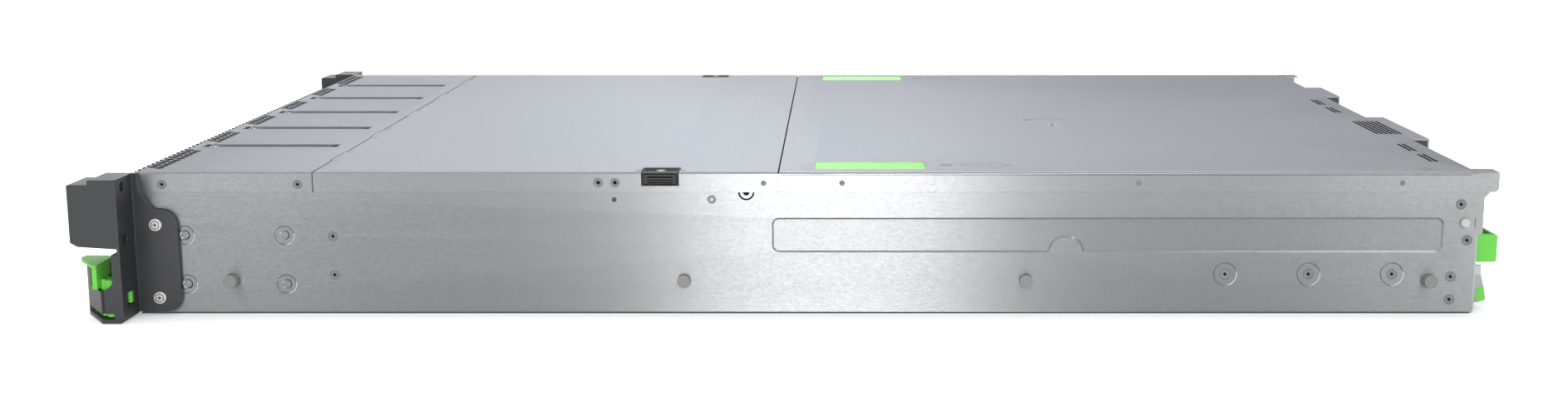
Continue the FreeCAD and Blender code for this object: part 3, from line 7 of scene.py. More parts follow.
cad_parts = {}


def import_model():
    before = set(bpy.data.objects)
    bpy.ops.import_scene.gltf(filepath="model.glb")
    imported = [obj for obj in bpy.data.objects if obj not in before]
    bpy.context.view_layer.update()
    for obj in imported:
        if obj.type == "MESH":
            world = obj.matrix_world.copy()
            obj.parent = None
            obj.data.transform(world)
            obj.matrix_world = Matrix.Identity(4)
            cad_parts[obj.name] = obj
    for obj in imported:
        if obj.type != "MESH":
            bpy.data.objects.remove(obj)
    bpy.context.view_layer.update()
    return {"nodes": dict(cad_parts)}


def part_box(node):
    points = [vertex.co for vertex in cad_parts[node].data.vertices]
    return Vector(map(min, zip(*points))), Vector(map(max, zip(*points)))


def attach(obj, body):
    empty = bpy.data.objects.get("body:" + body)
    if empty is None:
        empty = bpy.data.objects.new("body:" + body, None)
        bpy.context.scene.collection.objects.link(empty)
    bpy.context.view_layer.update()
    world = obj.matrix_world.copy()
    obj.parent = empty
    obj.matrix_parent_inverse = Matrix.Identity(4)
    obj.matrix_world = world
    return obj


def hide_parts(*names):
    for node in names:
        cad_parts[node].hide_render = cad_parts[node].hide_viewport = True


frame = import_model()

# Places in millimetres: x from the middle plane, u behind the fold of the rack ears, z above the underside
MM = 0.001
FLANGE_FRONT = 0.6
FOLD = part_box("ear_bracket_right")[0].y / MM + FLANGE_FRONT
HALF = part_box("chassis_tray")[1].x / MM
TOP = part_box("rear_cover")[1].z / MM
REAR_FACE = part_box("rear_panel")[1].y / MM - FOLD
SIDES = (1, -1)
NAMED_SIDES = ((1, "right"), (-1, "left"))
PAIR = (1, 2)


def spot(x, u, z):
    """A place in the frame, in metres."""
    return Vector((x, u + FOLD, z)) * MM


# Materials: a principled shader with its colour, roughness and relief varied by noise
NOISE_ROUGHNESS = 0.55


class Finish:
    def __init__(self, name, **settings):
        self.material = bpy.data.materials.new(name)
        self.material.use_nodes = True
        self.tree = self.material.node_tree
        self.shader = self.tree.nodes["Principled BSDF"]
        for socket, value in settings.items():
            self.shader.inputs[socket.replace("_", " ").title().replace("Ior", "IOR")].default_value = value
        self.place = self.node("ShaderNodeTexCoord").outputs["Object"]

    def node(self, kind, **settings):
        made = self.tree.nodes.new(kind)
        for name, value in settings.items():
            setattr(made, name, value)
        return made

    def link(self, source, target):
        self.tree.links.new(source, target)

    def noise(self, scale, stretch=(1, 1, 1), detail=3.0):
        """Noise over the piece, with a scale in cells per metre and a stretch along each axis."""
        mapping = self.node("ShaderNodeMapping")
        mapping.inputs["Scale"].default_value = stretch
        self.link(self.place, mapping.inputs["Vector"])
        noise = self.node("ShaderNodeTexNoise")
        noise.inputs["Scale"].default_value = scale
        noise.inputs["Detail"].default_value = detail
        noise.inputs["Roughness"].default_value = NOISE_ROUGHNESS
        self.link(mapping.outputs["Vector"], noise.inputs["Vector"])
        return noise.outputs["Fac"]

    def span(self, source, low, high, start=0.3, end=0.7):
        """A value that goes from low to high as the source goes from start to end."""
        fit = self.node("ShaderNodeMapRange")
        for name, value in (("From Min", start), ("From Max", end), ("To Min", low), ("To Max", high)):
            fit.inputs[name].default_value = value
        self.link(source, fit.inputs["Value"])
        return fit.outputs["Result"]

    def blend(self, source, first, second):
        """A colour between two colours; either may be another colour output."""
        mix = self.node("ShaderNodeMix", data_type="RGBA")
        self.link(source, mix.inputs["Factor"])
        for socket, colour in (("A", first), ("B", second)):
            target = next(item for item in mix.inputs if item.name == socket and item.type == "RGBA")
            if isinstance(colour, tuple):
                target.default_value = (*colour, 1)
            else:
                self.link(colour, target)
        return next(item for item in mix.outputs if item.type == "RGBA")

    def colour(self, source):
        self.link(source, self.shader.inputs["Base Color"])

    def roughness(self, source):
        self.link(source, self.shader.inputs["Roughness"])

    def rounded_edges(self, radius):
        """Softens the edges by a radius in millimetres."""
        soft = self.node("ShaderNodeBevel", samples=6)
        soft.inputs["Radius"].default_value = radius * MM
        return soft.outputs["Normal"]

    def relief(self, *layers, normal=None):
        """Bump layers, each a source and a depth in millimetres."""
        for source, depth in layers:
            bump = self.node("ShaderNodeBump")
            bump.inputs["Distance"].default_value = depth * MM
            bump.inputs["Strength"].default_value = 1.0
            self.link(source, bump.inputs["Height"])
            if normal:
                self.link(normal, bump.inputs["Normal"])
            normal = bump.outputs["Normal"]
        self.link(normal, self.shader.inputs["Normal"])

    def spread_along(self):
        """Spreads reflections upward on the sides and along the depth on top; gives a face's upward part."""
        split = self.node("ShaderNodeSeparateXYZ")
        turned = self.node("ShaderNodeCombineXYZ")
        self.link(self.node("ShaderNodeNewGeometry").outputs["Normal"], split.inputs["Vector"])
        for source, target in zip("YZX", "XYZ"):
            self.link(split.outputs[source], turned.inputs[target])
        self.link(turned.outputs["Vector"], self.shader.inputs["Tangent"])
        return split.outputs["Z"]

    def worn_and_highlit_edges(self, colour, lift, wear_and_highlight):
        """The colour, blended towards a lighter one where the surface bends outward: wear, and a painted
        highlight.
        """
        pointy = self.node("ShaderNodeNewGeometry").outputs["Pointiness"]
        return self.blend(self.span(pointy, 0.0, lift, start=0.51, end=0.58), colour, wear_and_highlight)


METAL_EDGE = (0.6, 0.61, 0.63, 1)
COVER_EDGE = (0.39, 0.4, 0.42, 1)
TONGUE_EDGE = (0.22, 0.222, 0.226, 1)
MOULDED_EDGE = 0.4
PAINTED_EDGE = 0.6
MATT = 0.05
LOW_GLOSS = 0.15


def shade(colour, factor):
    return tuple(min(1.0, channel * factor) for channel in colour)


def sheet_metal(name, colour, rough, brushed=(1, 0.2, 1), spread=0.0, above=None, edge=METAL_EDGE):
    """Plated sheet: a grain drawn out along the depth, clouds of tone, a painted sky reflection where it
    looks up.
    """
    finish = Finish(name, metallic=1.0, specular_tint=edge, anisotropic=spread)
    upward = finish.spread_along()
    clouds = finish.noise(9, detail=4)
    grain = finish.noise(2600, brushed, detail=2)
    speckle = finish.noise(5200, detail=1)
    # Faces that look up take the above colour: a painted reflection of the sky, not a colour of the sheet.
    tone = finish.blend(finish.span(upward, 0, 1, start=0.3, end=0.9), colour, above or colour)
    cloudy = finish.blend(finish.span(clouds, 0, 0.08), tone, shade(colour, 0.4))
    drawn = finish.blend(finish.span(grain, 0, 0.12), cloudy, shade(colour, 0.4))
    # Lighter convex edges: wear, and a painted highlight along the folds.
    finish.colour(finish.worn_and_highlit_edges(drawn, 0.5, shade(colour, 1.3)))
    finish.roughness(finish.span(grain, rough - 0.05, rough + 0.06))
    finish.relief((grain, 0.002), (speckle, 0.003))
    return finish.material


def turned_metal(name, colour, rough):
    """Metal from the lathe, with fine changes of tone."""
    finish = Finish(name, metallic=1.0, specular_tint=METAL_EDGE)
    rings = finish.noise(1800, detail=2)
    finish.colour(finish.blend(finish.span(rings, 0, 1), shade(colour, 0.88), shade(colour, 1.06)))
    finish.roughness(finish.span(rings, rough - 0.06, rough + 0.08))
    finish.relief((rings, 0.006))
    return finish.material


def moulded(name, colour, rough, grain_depth, variation=0.12, wear_and_highlight=1.5, gloss=0.45):
    """Moulded plastic: a spark-eroded grain, faint flow marks, and edges lighter as rubbed wear and painted
    highlight.
    """
    finish = Finish(name, specular_ior_level=gloss)
    grain = finish.noise(3600, detail=2)
    flow = finish.noise(26, detail=3)
    tone = finish.blend(finish.span(flow, 0, 1), shade(colour, 1 - variation), shade(colour, 1 + variation))
    finish.colour(finish.worn_and_highlit_edges(tone, 0.4, shade(colour, wear_and_highlight)))
    finish.roughness(finish.span(grain, rough - 0.07, rough + 0.07))
    finish.relief((grain, grain_depth), normal=finish.rounded_edges(MOULDED_EDGE))
    return finish.material


def painted(name, colour, rough):
    """Powder coat: a soft orange-peel relief over metal."""
    finish = Finish(name, specular_ior_level=0.5)
    peel = finish.noise(1100, detail=2)
    dust = finish.noise(60, detail=4)
    tone = finish.blend(finish.span(dust, 0, 1), shade(colour, 0.85), shade(colour, 1.18))
    # Lighter convex edges: wear, and a painted highlight.
    finish.colour(finish.worn_and_highlit_edges(tone, 0.5, shade(colour, 2.2)))
    finish.roughness(finish.span(dust, rough - 0.06, rough + 0.08))
    finish.relief((peel, 0.012), normal=finish.rounded_edges(PAINTED_EDGE))
    return finish.material


def circuit(name, resist, copper):
    """Solder resist over copper tracks, which show as a paler net of lines."""
    finish = Finish(name, roughness=0.42)
    tracks = finish.node("ShaderNodeTexBrick")
    tracks.inputs["Scale"].default_value = 120
    tracks.inputs["Mortar Size"].default_value = 0.05
    finish.link(finish.place, tracks.inputs["Vector"])
    fill = finish.noise(420, (1, 0.2, 1), detail=1)
    net = finish.blend(finish.span(fill, 0, 0.8, start=0.48, end=0.52), resist, copper)
    finish.colour(finish.blend(tracks.outputs["Fac"], net, shade(resist, 0.7)))
    finish.relief((tracks.outputs["Fac"], 0.03))
    return finish.material


STEEL = (0.3, 0.304, 0.308)
# Tint of the covers' up-facing faces: a painted reflection of the sky.
PAINTED_SKY_TINT = (0.3, 0.31, 0.33)
LEAF = (0.138, 0.52, 0.072)
PALE_LEAF = (0.3, 0.78, 0.18)
BLACK = (0.017, 0.0174, 0.0186)
ACROSS = (0.03, 1, 1)
UPWARD = (1, 1, 0.05)

steel = sheet_metal("sheet_steel", STEEL, 0.45, spread=1.0)
cover_steel = sheet_metal("cover_steel", STEEL, 0.45, spread=1.0, above=PAINTED_SKY_TINT, edge=COVER_EDGE)
inner_steel = sheet_metal("inner_steel", STEEL, 0.42, ACROSS)
cam_steel = sheet_metal("cam_steel", (0.24, 0.243, 0.246), 0.42, UPWARD)
tongue_steel = sheet_metal("tongue_steel", (0.1, 0.101, 0.103), 0.42, edge=TONGUE_EDGE)
aluminium = sheet_metal("drawn_aluminium", (0.72, 0.73, 0.74), 0.35)
bright_steel = turned_metal("bright_steel", (0.62, 0.63, 0.64), 0.3)
bright_rivet = turned_metal("bright_rivet", (0.4, 0.41, 0.42), 0.38)
screw_steel = turned_metal("screw_steel", (0.52, 0.51, 0.5), 0.5)
gold = turned_metal("gold_plating", (0.83, 0.58, 0.2), 0.25)
ear_paint = painted("ear_paint", (0.0105, 0.0105, 0.0114), 0.45)
board_resist = circuit("board_resist", (0.006, 0.07, 0.035), (0.02, 0.16, 0.07))
black_plastic = moulded("black_plastic", BLACK, 0.5, 0.02)
bezel_plastic = moulded("bezel_plastic", (0.035, 0.036, 0.039), 0.46, 0.015)
latch_plastic = moulded("latch_plastic", (0.011, 0.011, 0.012), 0.6, 0.015)
fan_plastic = moulded("fan_plastic", (0.018, 0.018, 0.019), 0.4, 0.01)
port_plastic = moulded("port_plastic", (0.03, 0.06, 0.16), 0.4, 0.006)
green_plastic = moulded("green_plastic", LEAF, 0.5, 0.008, variation=0.05, wear_and_highlight=1.15, gloss=LOW_GLOSS)
deep_green = moulded("deep_green", (0.035, 0.22, 0.02), 0.5, 0.006, variation=0.05, wear_and_highlight=1.1)
pad_print = moulded("pad_print", PALE_LEAF, 0.55, 0.004, variation=0.03, wear_and_highlight=1.05, gloss=LOW_GLOSS)
pale_plastic = moulded("pale_plastic", (0.55, 0.57, 0.59), 0.3, 0.004, variation=0.04, wear_and_highlight=1.1)
lens_plastic = moulded("lens_plastic", (0.42, 0.7, 0.36), 0.18, 0.002, variation=0.03, wear_and_highlight=1.1)
stud_steel = moulded("stud_steel", (0.145, 0.144, 0.142), 0.5, 0.006)
rivet_steel = moulded("rivet_steel", (0.15, 0.149, 0.147), 0.5, 0.004)
pin_steel = moulded("pin_steel", (0.4, 0.39, 0.375), 0.4, 0.004)
weld_grey = moulded("weld_grey", (0.13, 0.13, 0.13), 0.6, 0.004)
spot_grey = moulded("spot_grey", (0.15, 0.152, 0.154), 0.6, 0.01)
mark_print = moulded("mark_print", (0.1, 0.103, 0.11), 0.6, 0.002)
# Pale prints: painted highlights on pressed edges and bead ramps.
press_glint = moulded("press_glint", (0.62, 0.64, 0.66), 0.4, 0.002)
# A pale print of painted highlight along edges.
painted_edge_highlight = moulded("painted_edge_highlight", (0.8, 0.81, 0.83), 0.4, 0.002)
# Dark prints: painted shade at pressed edges, rivet rims, vent holes and the seam, and real dark studs, ticks
# and slits.
shade_and_dark_marks = moulded("shade_and_dark_marks", (0.07, 0.073, 0.078), 0.6, 0.002, gloss=MATT)
fold_shade = moulded("fold_shade", (0.05, 0.052, 0.057), 0.7, 0.002, gloss=MATT)
dark_hole = moulded("dark_hole", (0.008, 0.008, 0.008), 0.8, 0.004, gloss=MATT)

SLOT_FINISHES = {
    "black_plastic": (bezel_plastic, fan_plastic, port_plastic, mark_print, shade_and_dark_marks, fold_shade,
                      dark_hole),
    "polished_steel": (bright_steel, bright_rivet, screw_steel, gold, rivet_steel, pin_steel, press_glint,
                       painted_edge_highlight),
    "bright_steel": (weld_grey, spot_grey),
    "green_plastic": (green_plastic, deep_green, pad_print),
    "pale_plastic": (pale_plastic, lens_plastic),
    "dark_metal": (ear_paint,),
}
SLOTS = {finish.name: slot for slot, finishes in SLOT_FINISHES.items() for finish in finishes}
NODE_GROUPS = (
    (steel, ("chassis_tray",)),
    (cover_steel, ("front_top_panel", "middle_cover", "rear_cover")),
    (inner_steel, ("rear_panel", "card_blanks", "drive_cage", "fan_cage", "supply_cage", "supply_case")),
    (bright_steel, ("cover_lock", "ear_screws", "board_standoffs", "processors")),
    (bright_steel, ("rear_sockets", "front_sockets")),
    (tongue_steel, ("latch_tongue",)),
    (cam_steel, ("supply_cam",)),
    (stud_steel, ("rail_studs",)),
    (aluminium, ("heatsinks",)),
    (ear_paint, ("ear_bracket",)),
    (black_plastic, ("ear_block", "ear_housing", "drive_plugs")),
    (latch_plastic, ("latch_pad",)),
    (bezel_plastic, ("bay_blanks", "drive")),
    (fan_plastic, ("fan_frames", "fan_rotor")),
    (green_plastic, ("drive_grip", "ear_lever", "supply_handle")),
    (pad_print, ("push_pads",)),
    (pale_plastic, ("power_button", "ident_button")),
    (board_resist, ("backplane", "main_board", "riser_cards", "memory_modules")),
)
NODE_FINISH = {name: finish for finish, names in NODE_GROUPS for name in names}


def dress_nodes():
    """Gives each CAD node the finish of the longest name that its own name starts with."""
    for name, piece in frame["nodes"].items():
        key = max((key for key in NODE_FINISH if name.startswith(key)), key=len)
        piece.data.materials.clear()
        piece.data.materials.append(NODE_FINISH[key])


# Shapes: each piece is one mesh, drawn in millimetres on a face of the object
SHARP_ANGLE = radians(40)
MITRE_LIMIT = 0.3


def frame_of(origin, along, up, out):
    """A matrix that takes millimetres along, up and out of a face to the frame."""
    columns = [Vector(axis) * MM for axis in (along, up, out)]
    turn = Matrix(columns).transposed().to_4x4()
    return Matrix.Translation(origin) @ turn


def on_side(side, u, z, proud=0.0):
    return frame_of(spot(side * (HALF + proud), u, z), (0, 1, 0), (0, 0, 1), (side, 0, 0))


def facing(way, x, u, z):
    return frame_of(spot(x, u, z), (0, way, 0), (0, 0, 1), (way, 0, 0))


def level(x, u, z):
    return frame_of(spot(x, u, z), (1, 0, 0), (0, 1, 0), (0, 0, 1))


def on_top(x, u, drop=0.0):
    return level(x, u, TOP - drop)


def on_rear(x, z, u):
    return frame_of(spot(x, u, z), (-1, 0, 0), (0, 0, 1), (0, 1, 0))


def on_front(x, z, u):
    return frame_of(spot(x, u, z), (1, 0, 0), (0, 0, 1), (0, -1, 0))


def placed(name, data):
    """An object in the scene that shows a mesh, a lamp or a camera."""
    made = bpy.data.objects.new(name, data)
    bpy.context.scene.collection.objects.link(made)
    return made


class Piece:
    """Collects shapes into one mesh, which rides a body."""

    waiting = []

    def __init__(self, name, finish, body="chassis"):
        self.name, self.finish, self.body = name, finish, body
        self.mesh = bmesh.new()
        self.waiting.append(self)

    def loop(self, place, points, height):
        return [self.mesh.verts.new(place @ Vector((a, b, height))) for a, b in points]

    def bridge(self, first, second):
        count = len(first)
        for index in range(count):
            after = (index + 1) % count
            self.mesh.faces.new((first[index], first[after], second[after], second[index]))

    def prism(self, place, points, low, high):
        """An outline made into a plate between two heights."""
        bottom, top = self.loop(place, points, low), self.loop(place, points, high)
        self.bridge(bottom, top)
        self.mesh.faces.new(top)
        self.mesh.faces.new(bottom[::-1])

    def band(self, place, outer, inner, low, high):
        """A plate between an outer and an inner outline with as many points each."""
        loops = [self.loop(place, points, height) for points, height in
                 ((outer, low), (outer, high), (inner, high), (inner, low))]
        for first, second in zip(loops, loops[1:] + loops[:1]):
            self.bridge(first, second)

    def cross(self, place, long, wide, low, high):
        """Two crossed bars."""
        for outline in (bar(long, wide), bar(wide, long)):
            self.prism(place, outline, low, high)

    def turned(self, place, profile, sides=28):
        """A shape turned about the face's normal, from (radius, height) pairs; it is closed at both ends."""
        rings = [self.loop(place, circle(radius, sides), height) for radius, height in profile]
        for first, second in zip(rings, rings[1:]):
            self.bridge(first, second)
        self.mesh.faces.new(rings[0][::-1])
        self.mesh.faces.new(rings[-1])

    def done(self):
        """Makes the mesh an object."""
        self.waiting.remove(self)
        bmesh.ops.recalc_face_normals(self.mesh, faces=self.mesh.faces)
        mesh = bpy.data.meshes.new(self.name)
        self.mesh.to_mesh(mesh)
        self.mesh.free()
        mesh.shade_smooth()
        mesh.set_sharp_from_angle(angle=SHARP_ANGLE)
        mesh.materials.append(self.finish)
        piece = placed(self.name, mesh)
        body, slot = self.body, SLOTS[self.finish.name]
        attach(piece, body)
        return piece


def circle(radius, sides, start=0.0, end=tau):
    """A circle about the middle, or an arc with both its ends."""
    count = sides if end - start >= tau else sides + 1
    angles = [start + (end - start) * k / sides for k in range(count)]
    return [(radius * cos(angle), radius * sin(angle)) for angle in angles]


def hexagon(radius):
    return circle(radius, 6, radians(30), radians(390))


def arc(u, z, radius, start, end):
    """An arc about a point, from one angle in degrees to another."""
    return [(u + a, z + b) for a, b in circle(radius, 24, radians(start), radians(end))]


def crescent(outer, inner, sides, start, end):
    """An arc as wide as the step between two radii."""
    return circle(outer, sides, start, end) + circle(inner, sides, start, end)[::-1]


def rounded(width, tall, radius, sides=3):
    """A rectangle about the middle with rounded corners."""
    points = []
    for quarter, (a, b) in enumerate(((1, 1), (-1, 1), (-1, -1), (1, -1))):
        for k in range(sides + 1):
            angle = pi / 2 * (quarter + k / sides)
            points.append((a * (width / 2 - radius) + radius * cos(angle),
                           b * (tall / 2 - radius) + radius * sin(angle)))
    return points


def bar(wide, tall, a=0.0, b=0.0):
    """A rectangle about a point."""
    left, right, low, high = a - wide / 2, a + wide / 2, b - tall / 2, b + tall / 2
    return [(left, low), (right, low), (right, high), (left, high)]


def inset(points, width):
    """A closed outline moved inward by a width, corner by corner."""
    moved = []
    following = points[1:] + points[:1]
    area = sum(a * d - c * b for (a, b), (c, d) in zip(points, following))
    for k, point in enumerate(points):
        here = Vector(point)
        before = (here - Vector(points[k - 1])).normalized()
        after = (Vector(following[k]) - here).normalized()
        normals = [Vector((-edge.y, edge.x)) * (1 if area > 0 else -1) for edge in (before, after)]
        middle = (normals[0] + normals[1]).normalized()
        moved.append(tuple(here + middle * (width / max(MITRE_LIMIT, middle.dot(normals[0])))))
    return moved


def strip(points, width):
    """An open line made into a closed outline of a width."""
    left, right = [], []
    for k, point in enumerate(points):
        along = Vector(points[min(k + 1, len(points) - 1)]) - Vector(points[max(k - 1, 0)])
        across = Vector((-along.y, along.x)).normalized() * (width / 2)
        left.append(tuple(Vector(point) + across))
        right.append(tuple(Vector(point) - across))
    return left + right[::-1]


def extent(name):
    """Low and high x, u and z of a CAD node, in millimetres."""
    low, high = (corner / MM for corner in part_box(name))
    return low.x, high.x, low.y - FOLD, high.y - FOLD, low.z, high.z


def steps(low, high, count):
    """Evenly spaced places from low to high."""
    return [low + (high - low) * k / (count - 1) for k in range(count)]


# Heights over a face: thin prints, and how deep a piece is let into the face
PRINT = 0.03
LET_IN = -0.2
DEEP_IN = -0.3

# Rivets and weld dots of the side walls, at u and z; a rivet's size is its radius and the radius of its hole
PANEL_RIVETS = ((18.1, 79.7), (99.5, 79.7))
WALL_RIVETS = ((119.3, 47.9), (119.3, 24.0))
REAR_RIVETS = ((798.3, 67.5), (803.0, 45.4), (794.3, 22.9), (794.3, 8.7))
ROUND_RIVETS = ((657.9, 24.4), (708.35, 24.4), (758.8, 24.4))
ROUND_DEPTH = 0.3
LATCH_RIVETS = ((279.9, 80.8), (290.0, 80.8))
SMALL_RIVET = (2.6, 0.95)
LARGE_RIVET = (3.0, 1.0)
LATCH_RIVET = (2.6, 1.15)
RIVET_SHADE_RING = (0.2, -0.05)
RIVET_RIM = ((0, DEEP_IN), (0, 0.03), (0.25, 0.14), (0.55, 0.1))
RIVET_DISH = 0.02
RIVET_HOLE = ((1, LET_IN), (1, 0.06), (0.8, 0.07))
WELD_DOTS = {"middle_cover": (379.1,), "rear_cover": (426.2, 604.1, 762.4)}
WELD_HEIGHT = 80.5
WELD_RADIUS = 1.65
WELD_PROFILE = [(WELD_RADIUS, LET_IN), (WELD_RADIUS, 0.02), (WELD_RADIUS * 0.7, 0.035)]


def rivets(group, word, body, places):
    """Flush rivets, each at a place and of a size: a rim and a dish, a dark hole, and a thin ring of painted
    shade round the rim.
    """
    heads = Piece(f"{group}_rivets_{word}", rivet_steel, body)
    holes = Piece(f"{group}_rivet_holes_{word}", dark_hole, body)
    rim_shades = Piece(f"{group}_rivet_rim_shade_{word}", shade_and_dark_marks, body)
    for place, (radius, hole) in places:
        # The dark band round each rivet is painted shade of its rim.
        outer, inner = (circle(radius + reach, 28) for reach in RIVET_SHADE_RING)
        rim_shades.band(place, outer, inner, LET_IN, RIVET_DISH)
        rim = [(radius - inward, height) for inward, height in RIVET_RIM]
        heads.turned(place, rim + [(hole, RIVET_DISH)])
        holes.turned(place, [(hole * share, height) for share, height in RIVET_HOLE], 20)


def side_rivets():
    for side, word in NAMED_SIDES:
        walls = [(on_side(side, u, z), SMALL_RIVET) for u, z in PANEL_RIVETS + WALL_RIVETS]
        walls += [(on_side(side, u, z), LARGE_RIVET) for u, z in REAR_RIVETS]
        walls += [(on_side(side, u, z, -ROUND_DEPTH), LARGE_RIVET) for u, z in ROUND_RIVETS]
        rivets("side", word, "chassis", walls)
        rivets("latch", word, "middle_cover", [(on_side(side, u, z), LATCH_RIVET) for u, z in LATCH_RIVETS])
        for body, places in WELD_DOTS.items():
            dots = Piece(f"weld_dots_{body}_{word}", weld_grey, body)
            for u in places:
                dots.turned(on_side(side, u, WELD_HEIGHT), WELD_PROFILE)


# Pins of the side walls, at u and z
GUIDE_PIN = (801.3, 56.3)
GUIDE_TICK = (807.3, 56.5)
RINGED_PIN = (347.9, 70.5)
DARK_STUD = (289.3, 70.4)
HALF_BOSS = (368.7, 74.9)
GUIDE_SHAPE = [(2.75, DEEP_IN), (2.75, 1.6), (2.45, 1.9)]
TICK_SHAPE = (0.4, 6.0)
RINGED_SHAPE = [(1.2, DEEP_IN), (1.2, 0.3), (0.9, 0.45)]
RING_SHAPE = [(2.6, DEEP_IN), (2.6, 0.04), (2.0, 0.1)]
STUD_SHAPE = [(1.45, DEEP_IN), (1.45, 0.3), (1.15, 0.45)]
BELOW = (pi, tau)
BOSS_RIM = crescent(4.9, 3.9, 18, *BELOW)
BOSS_MIDDLE = circle(2.0, 16, *BELOW)
BOSS_RIM_HIGH, BOSS_MIDDLE_HIGH = 0.05, 0.04


def side_pins():
    """The pale guide pin with its tick, a small pin in a rough ring, a dark stud and a half-round boss."""
    for side, word in NAMED_SIDES:
        pins = Piece(f"side_pins_{word}", pin_steel)
        rings = Piece(f"side_studs_{word}", spot_grey)
        studs = Piece(f"side_stud_{word}", shade_and_dark_marks)
        boss = Piece(f"half_boss_{word}", dark_hole)
        pins.turned(on_side(side, *GUIDE_PIN), GUIDE_SHAPE)
        pins.turned(on_side(side, *RINGED_PIN), RINGED_SHAPE)
        rings.turned(on_side(side, *RINGED_PIN), RING_SHAPE)
        studs.turned(on_side(side, *DARK_STUD), STUD_SHAPE)
        studs.prism(on_side(side, *GUIDE_TICK), bar(*TICK_SHAPE), LET_IN, PRINT)
        boss.prism(on_side(side, *HALF_BOSS), BOSS_RIM, LET_IN, BOSS_RIM_HIGH)
        boss.prism(on_side(side, *HALF_BOSS), BOSS_MIDDLE, LET_IN, BOSS_MIDDLE_HIGH)


# Pressed shapes of the side walls: painted shade along the edge where the sheet turns in and a painted
# highlight where it turns out
PANEL_START, PANEL_END, PANEL_HIGH, PANEL_RADIUS = 384.0, 788.5, 59.1, 4.3
ROUND_RADIUS = 7.0
DIMPLE_RADIUS = 5.8
DIMPLES = [(u, z) for u in (30.0, 90.0) for z in (18.3, 48.5)]
PRESSED = [(u, z, ROUND_RADIUS) for u, z in ROUND_RIVETS] + [(u, z, DIMPLE_RADIUS) for u, z in DIMPLES]
DARK_ARC = (25, 270)
BRIGHT_ARC = (285, 370)
LINE = 0.35


def press_shading():
    corner_height = PANEL_HIGH - PANEL_RADIUS
    edge = arc(PANEL_END - PANEL_RADIUS, corner_height, PANEL_RADIUS, 0, 90)
    edge += arc(PANEL_START + PANEL_RADIUS, corner_height, PANEL_RADIUS, 90, 180)
    for side, word in NAMED_SIDES:
        lines = Piece(f"press_shading_{word}", shade_and_dark_marks)
        glints = Piece(f"press_glints_{word}", press_glint)
        # Dark arcs are painted shade, pale arcs are painted highlights.
        wall = on_side(side, 0, 0)
        lines.prism(wall, strip(edge, LINE), LET_IN, PRINT)
        for shape in PRESSED:
            lines.prism(wall, strip(arc(*shape, *DARK_ARC), LINE), LET_IN, PRINT)
            glints.prism(wall, strip(arc(*shape, *BRIGHT_ARC), LINE), LET_IN, PRINT)


# Marks on the rear cover: an arrow and an eye beside each push pad, a corner mark, and the turn of the lock
MARK_X = 194.5
ARROW = [(-4.0, 498.5), (4.0, 498.5), (4.0, 517.5), (9.5, 517.5), (0, 530.0), (-9.5, 517.5), (-4.0, 517.5)]
EYE_MARK = 490.0
EYE_RINGS = ((3.4, 3.6, 28), (1.2, 3.0, 20))
CORNER_X = 206.0
CORNER = [(-4.0, 778.0), (4.0, 778.0), (0, 784.5)]
LOCK_X, LOCK_MIDDLE = 45.0, 574.5
LOCK_DOTS = (562.0, 585.5)
LOCK_DOT = 1.1
LOCK_SWEEP = (26.0, 25.3)
LOCK_TURN = (radians(150), radians(215))
LOCK_TIP = ((-2.6, 2.2), (2.4, 1.2), (1.8, -4.2))
PRINT_WIDTH = 0.35


def outline_mark(piece, place, points):
    piece.band(place, points, inset(points, PRINT_WIDTH), -PRINT, PRINT)


def rear_cover_marks():
    marks = Piece("rear_cover_marks", mark_print, "rear_cover")
    for side in SIDES:
        outline_mark(marks, on_top(side * MARK_X, 0), ARROW)
        for wide, tall, sides in EYE_RINGS:
            ring = [(wide * a, tall * b) for a, b in circle(1.0, sides)]
            outline_mark(marks, on_top(side * MARK_X, EYE_MARK), ring)
        outline_mark(marks, on_top(side * CORNER_X, 0), CORNER)
    for u in LOCK_DOTS:
        marks.prism(on_top(LOCK_X, u), circle(LOCK_DOT, 16), -PRINT, PRINT)
    lock = on_top(LOCK_X, LOCK_MIDDLE)
    marks.prism(lock, crescent(*LOCK_SWEEP, 30, *LOCK_TURN), -PRINT, PRINT)
    end = Vector(circle(LOCK_SWEEP[0], 30, *LOCK_TURN)[-1])
    marks.prism(lock, [tuple(end + Vector(point)) for point in LOCK_TIP], -PRINT, PRINT)


# The seam in front of the middle cover, with a painted highlight and painted shade
SEAM_FRONT = 108.95
SEAM_HIGHLIGHT = 0.45
SEAM_SHADE = 0.35
SEAM_END = 2.0
SEAM_WIDTH = 2 * (HALF - SEAM_END)
SEAM_ROUND = 0.1
TAB_MIDDLE, TAB_PITCH, TAB_HALF = -3.7, 84.4, 15.0
TAB_EDGES = [TAB_MIDDLE + TAB_PITCH * k + TAB_HALF * side for k in range(-2, 3) for side in SIDES]
TAB_SLIT = (0.7, 3.0, 0.3)


def seam_edge_highlight():
    """A painted highlight along the front edge of the middle cover, painted shade behind it and the slits
    beside its tabs.
    """
    edge = Piece("seam_edge_highlight", painted_edge_highlight, "middle_cover")
    slits = Piece("seam_shade_and_slits", shade_and_dark_marks, "middle_cover")
    place = on_top(0, SEAM_FRONT + SEAM_HIGHLIGHT / 2)
    edge.prism(place, rounded(SEAM_WIDTH, SEAM_HIGHLIGHT, SEAM_ROUND), -PRINT, PRINT)
    back = SEAM_FRONT + SEAM_HIGHLIGHT
    place = on_top(0, back + SEAM_SHADE / 2)
    slits.prism(place, rounded(SEAM_WIDTH, SEAM_SHADE, SEAM_ROUND), -PRINT, PRINT)
    for x in TAB_EDGES:
        place = on_top(x, back + SEAM_SHADE + TAB_SLIT[1] / 2)
        slits.prism(place, rounded(*TAB_SLIT), -PRINT, PRINT)


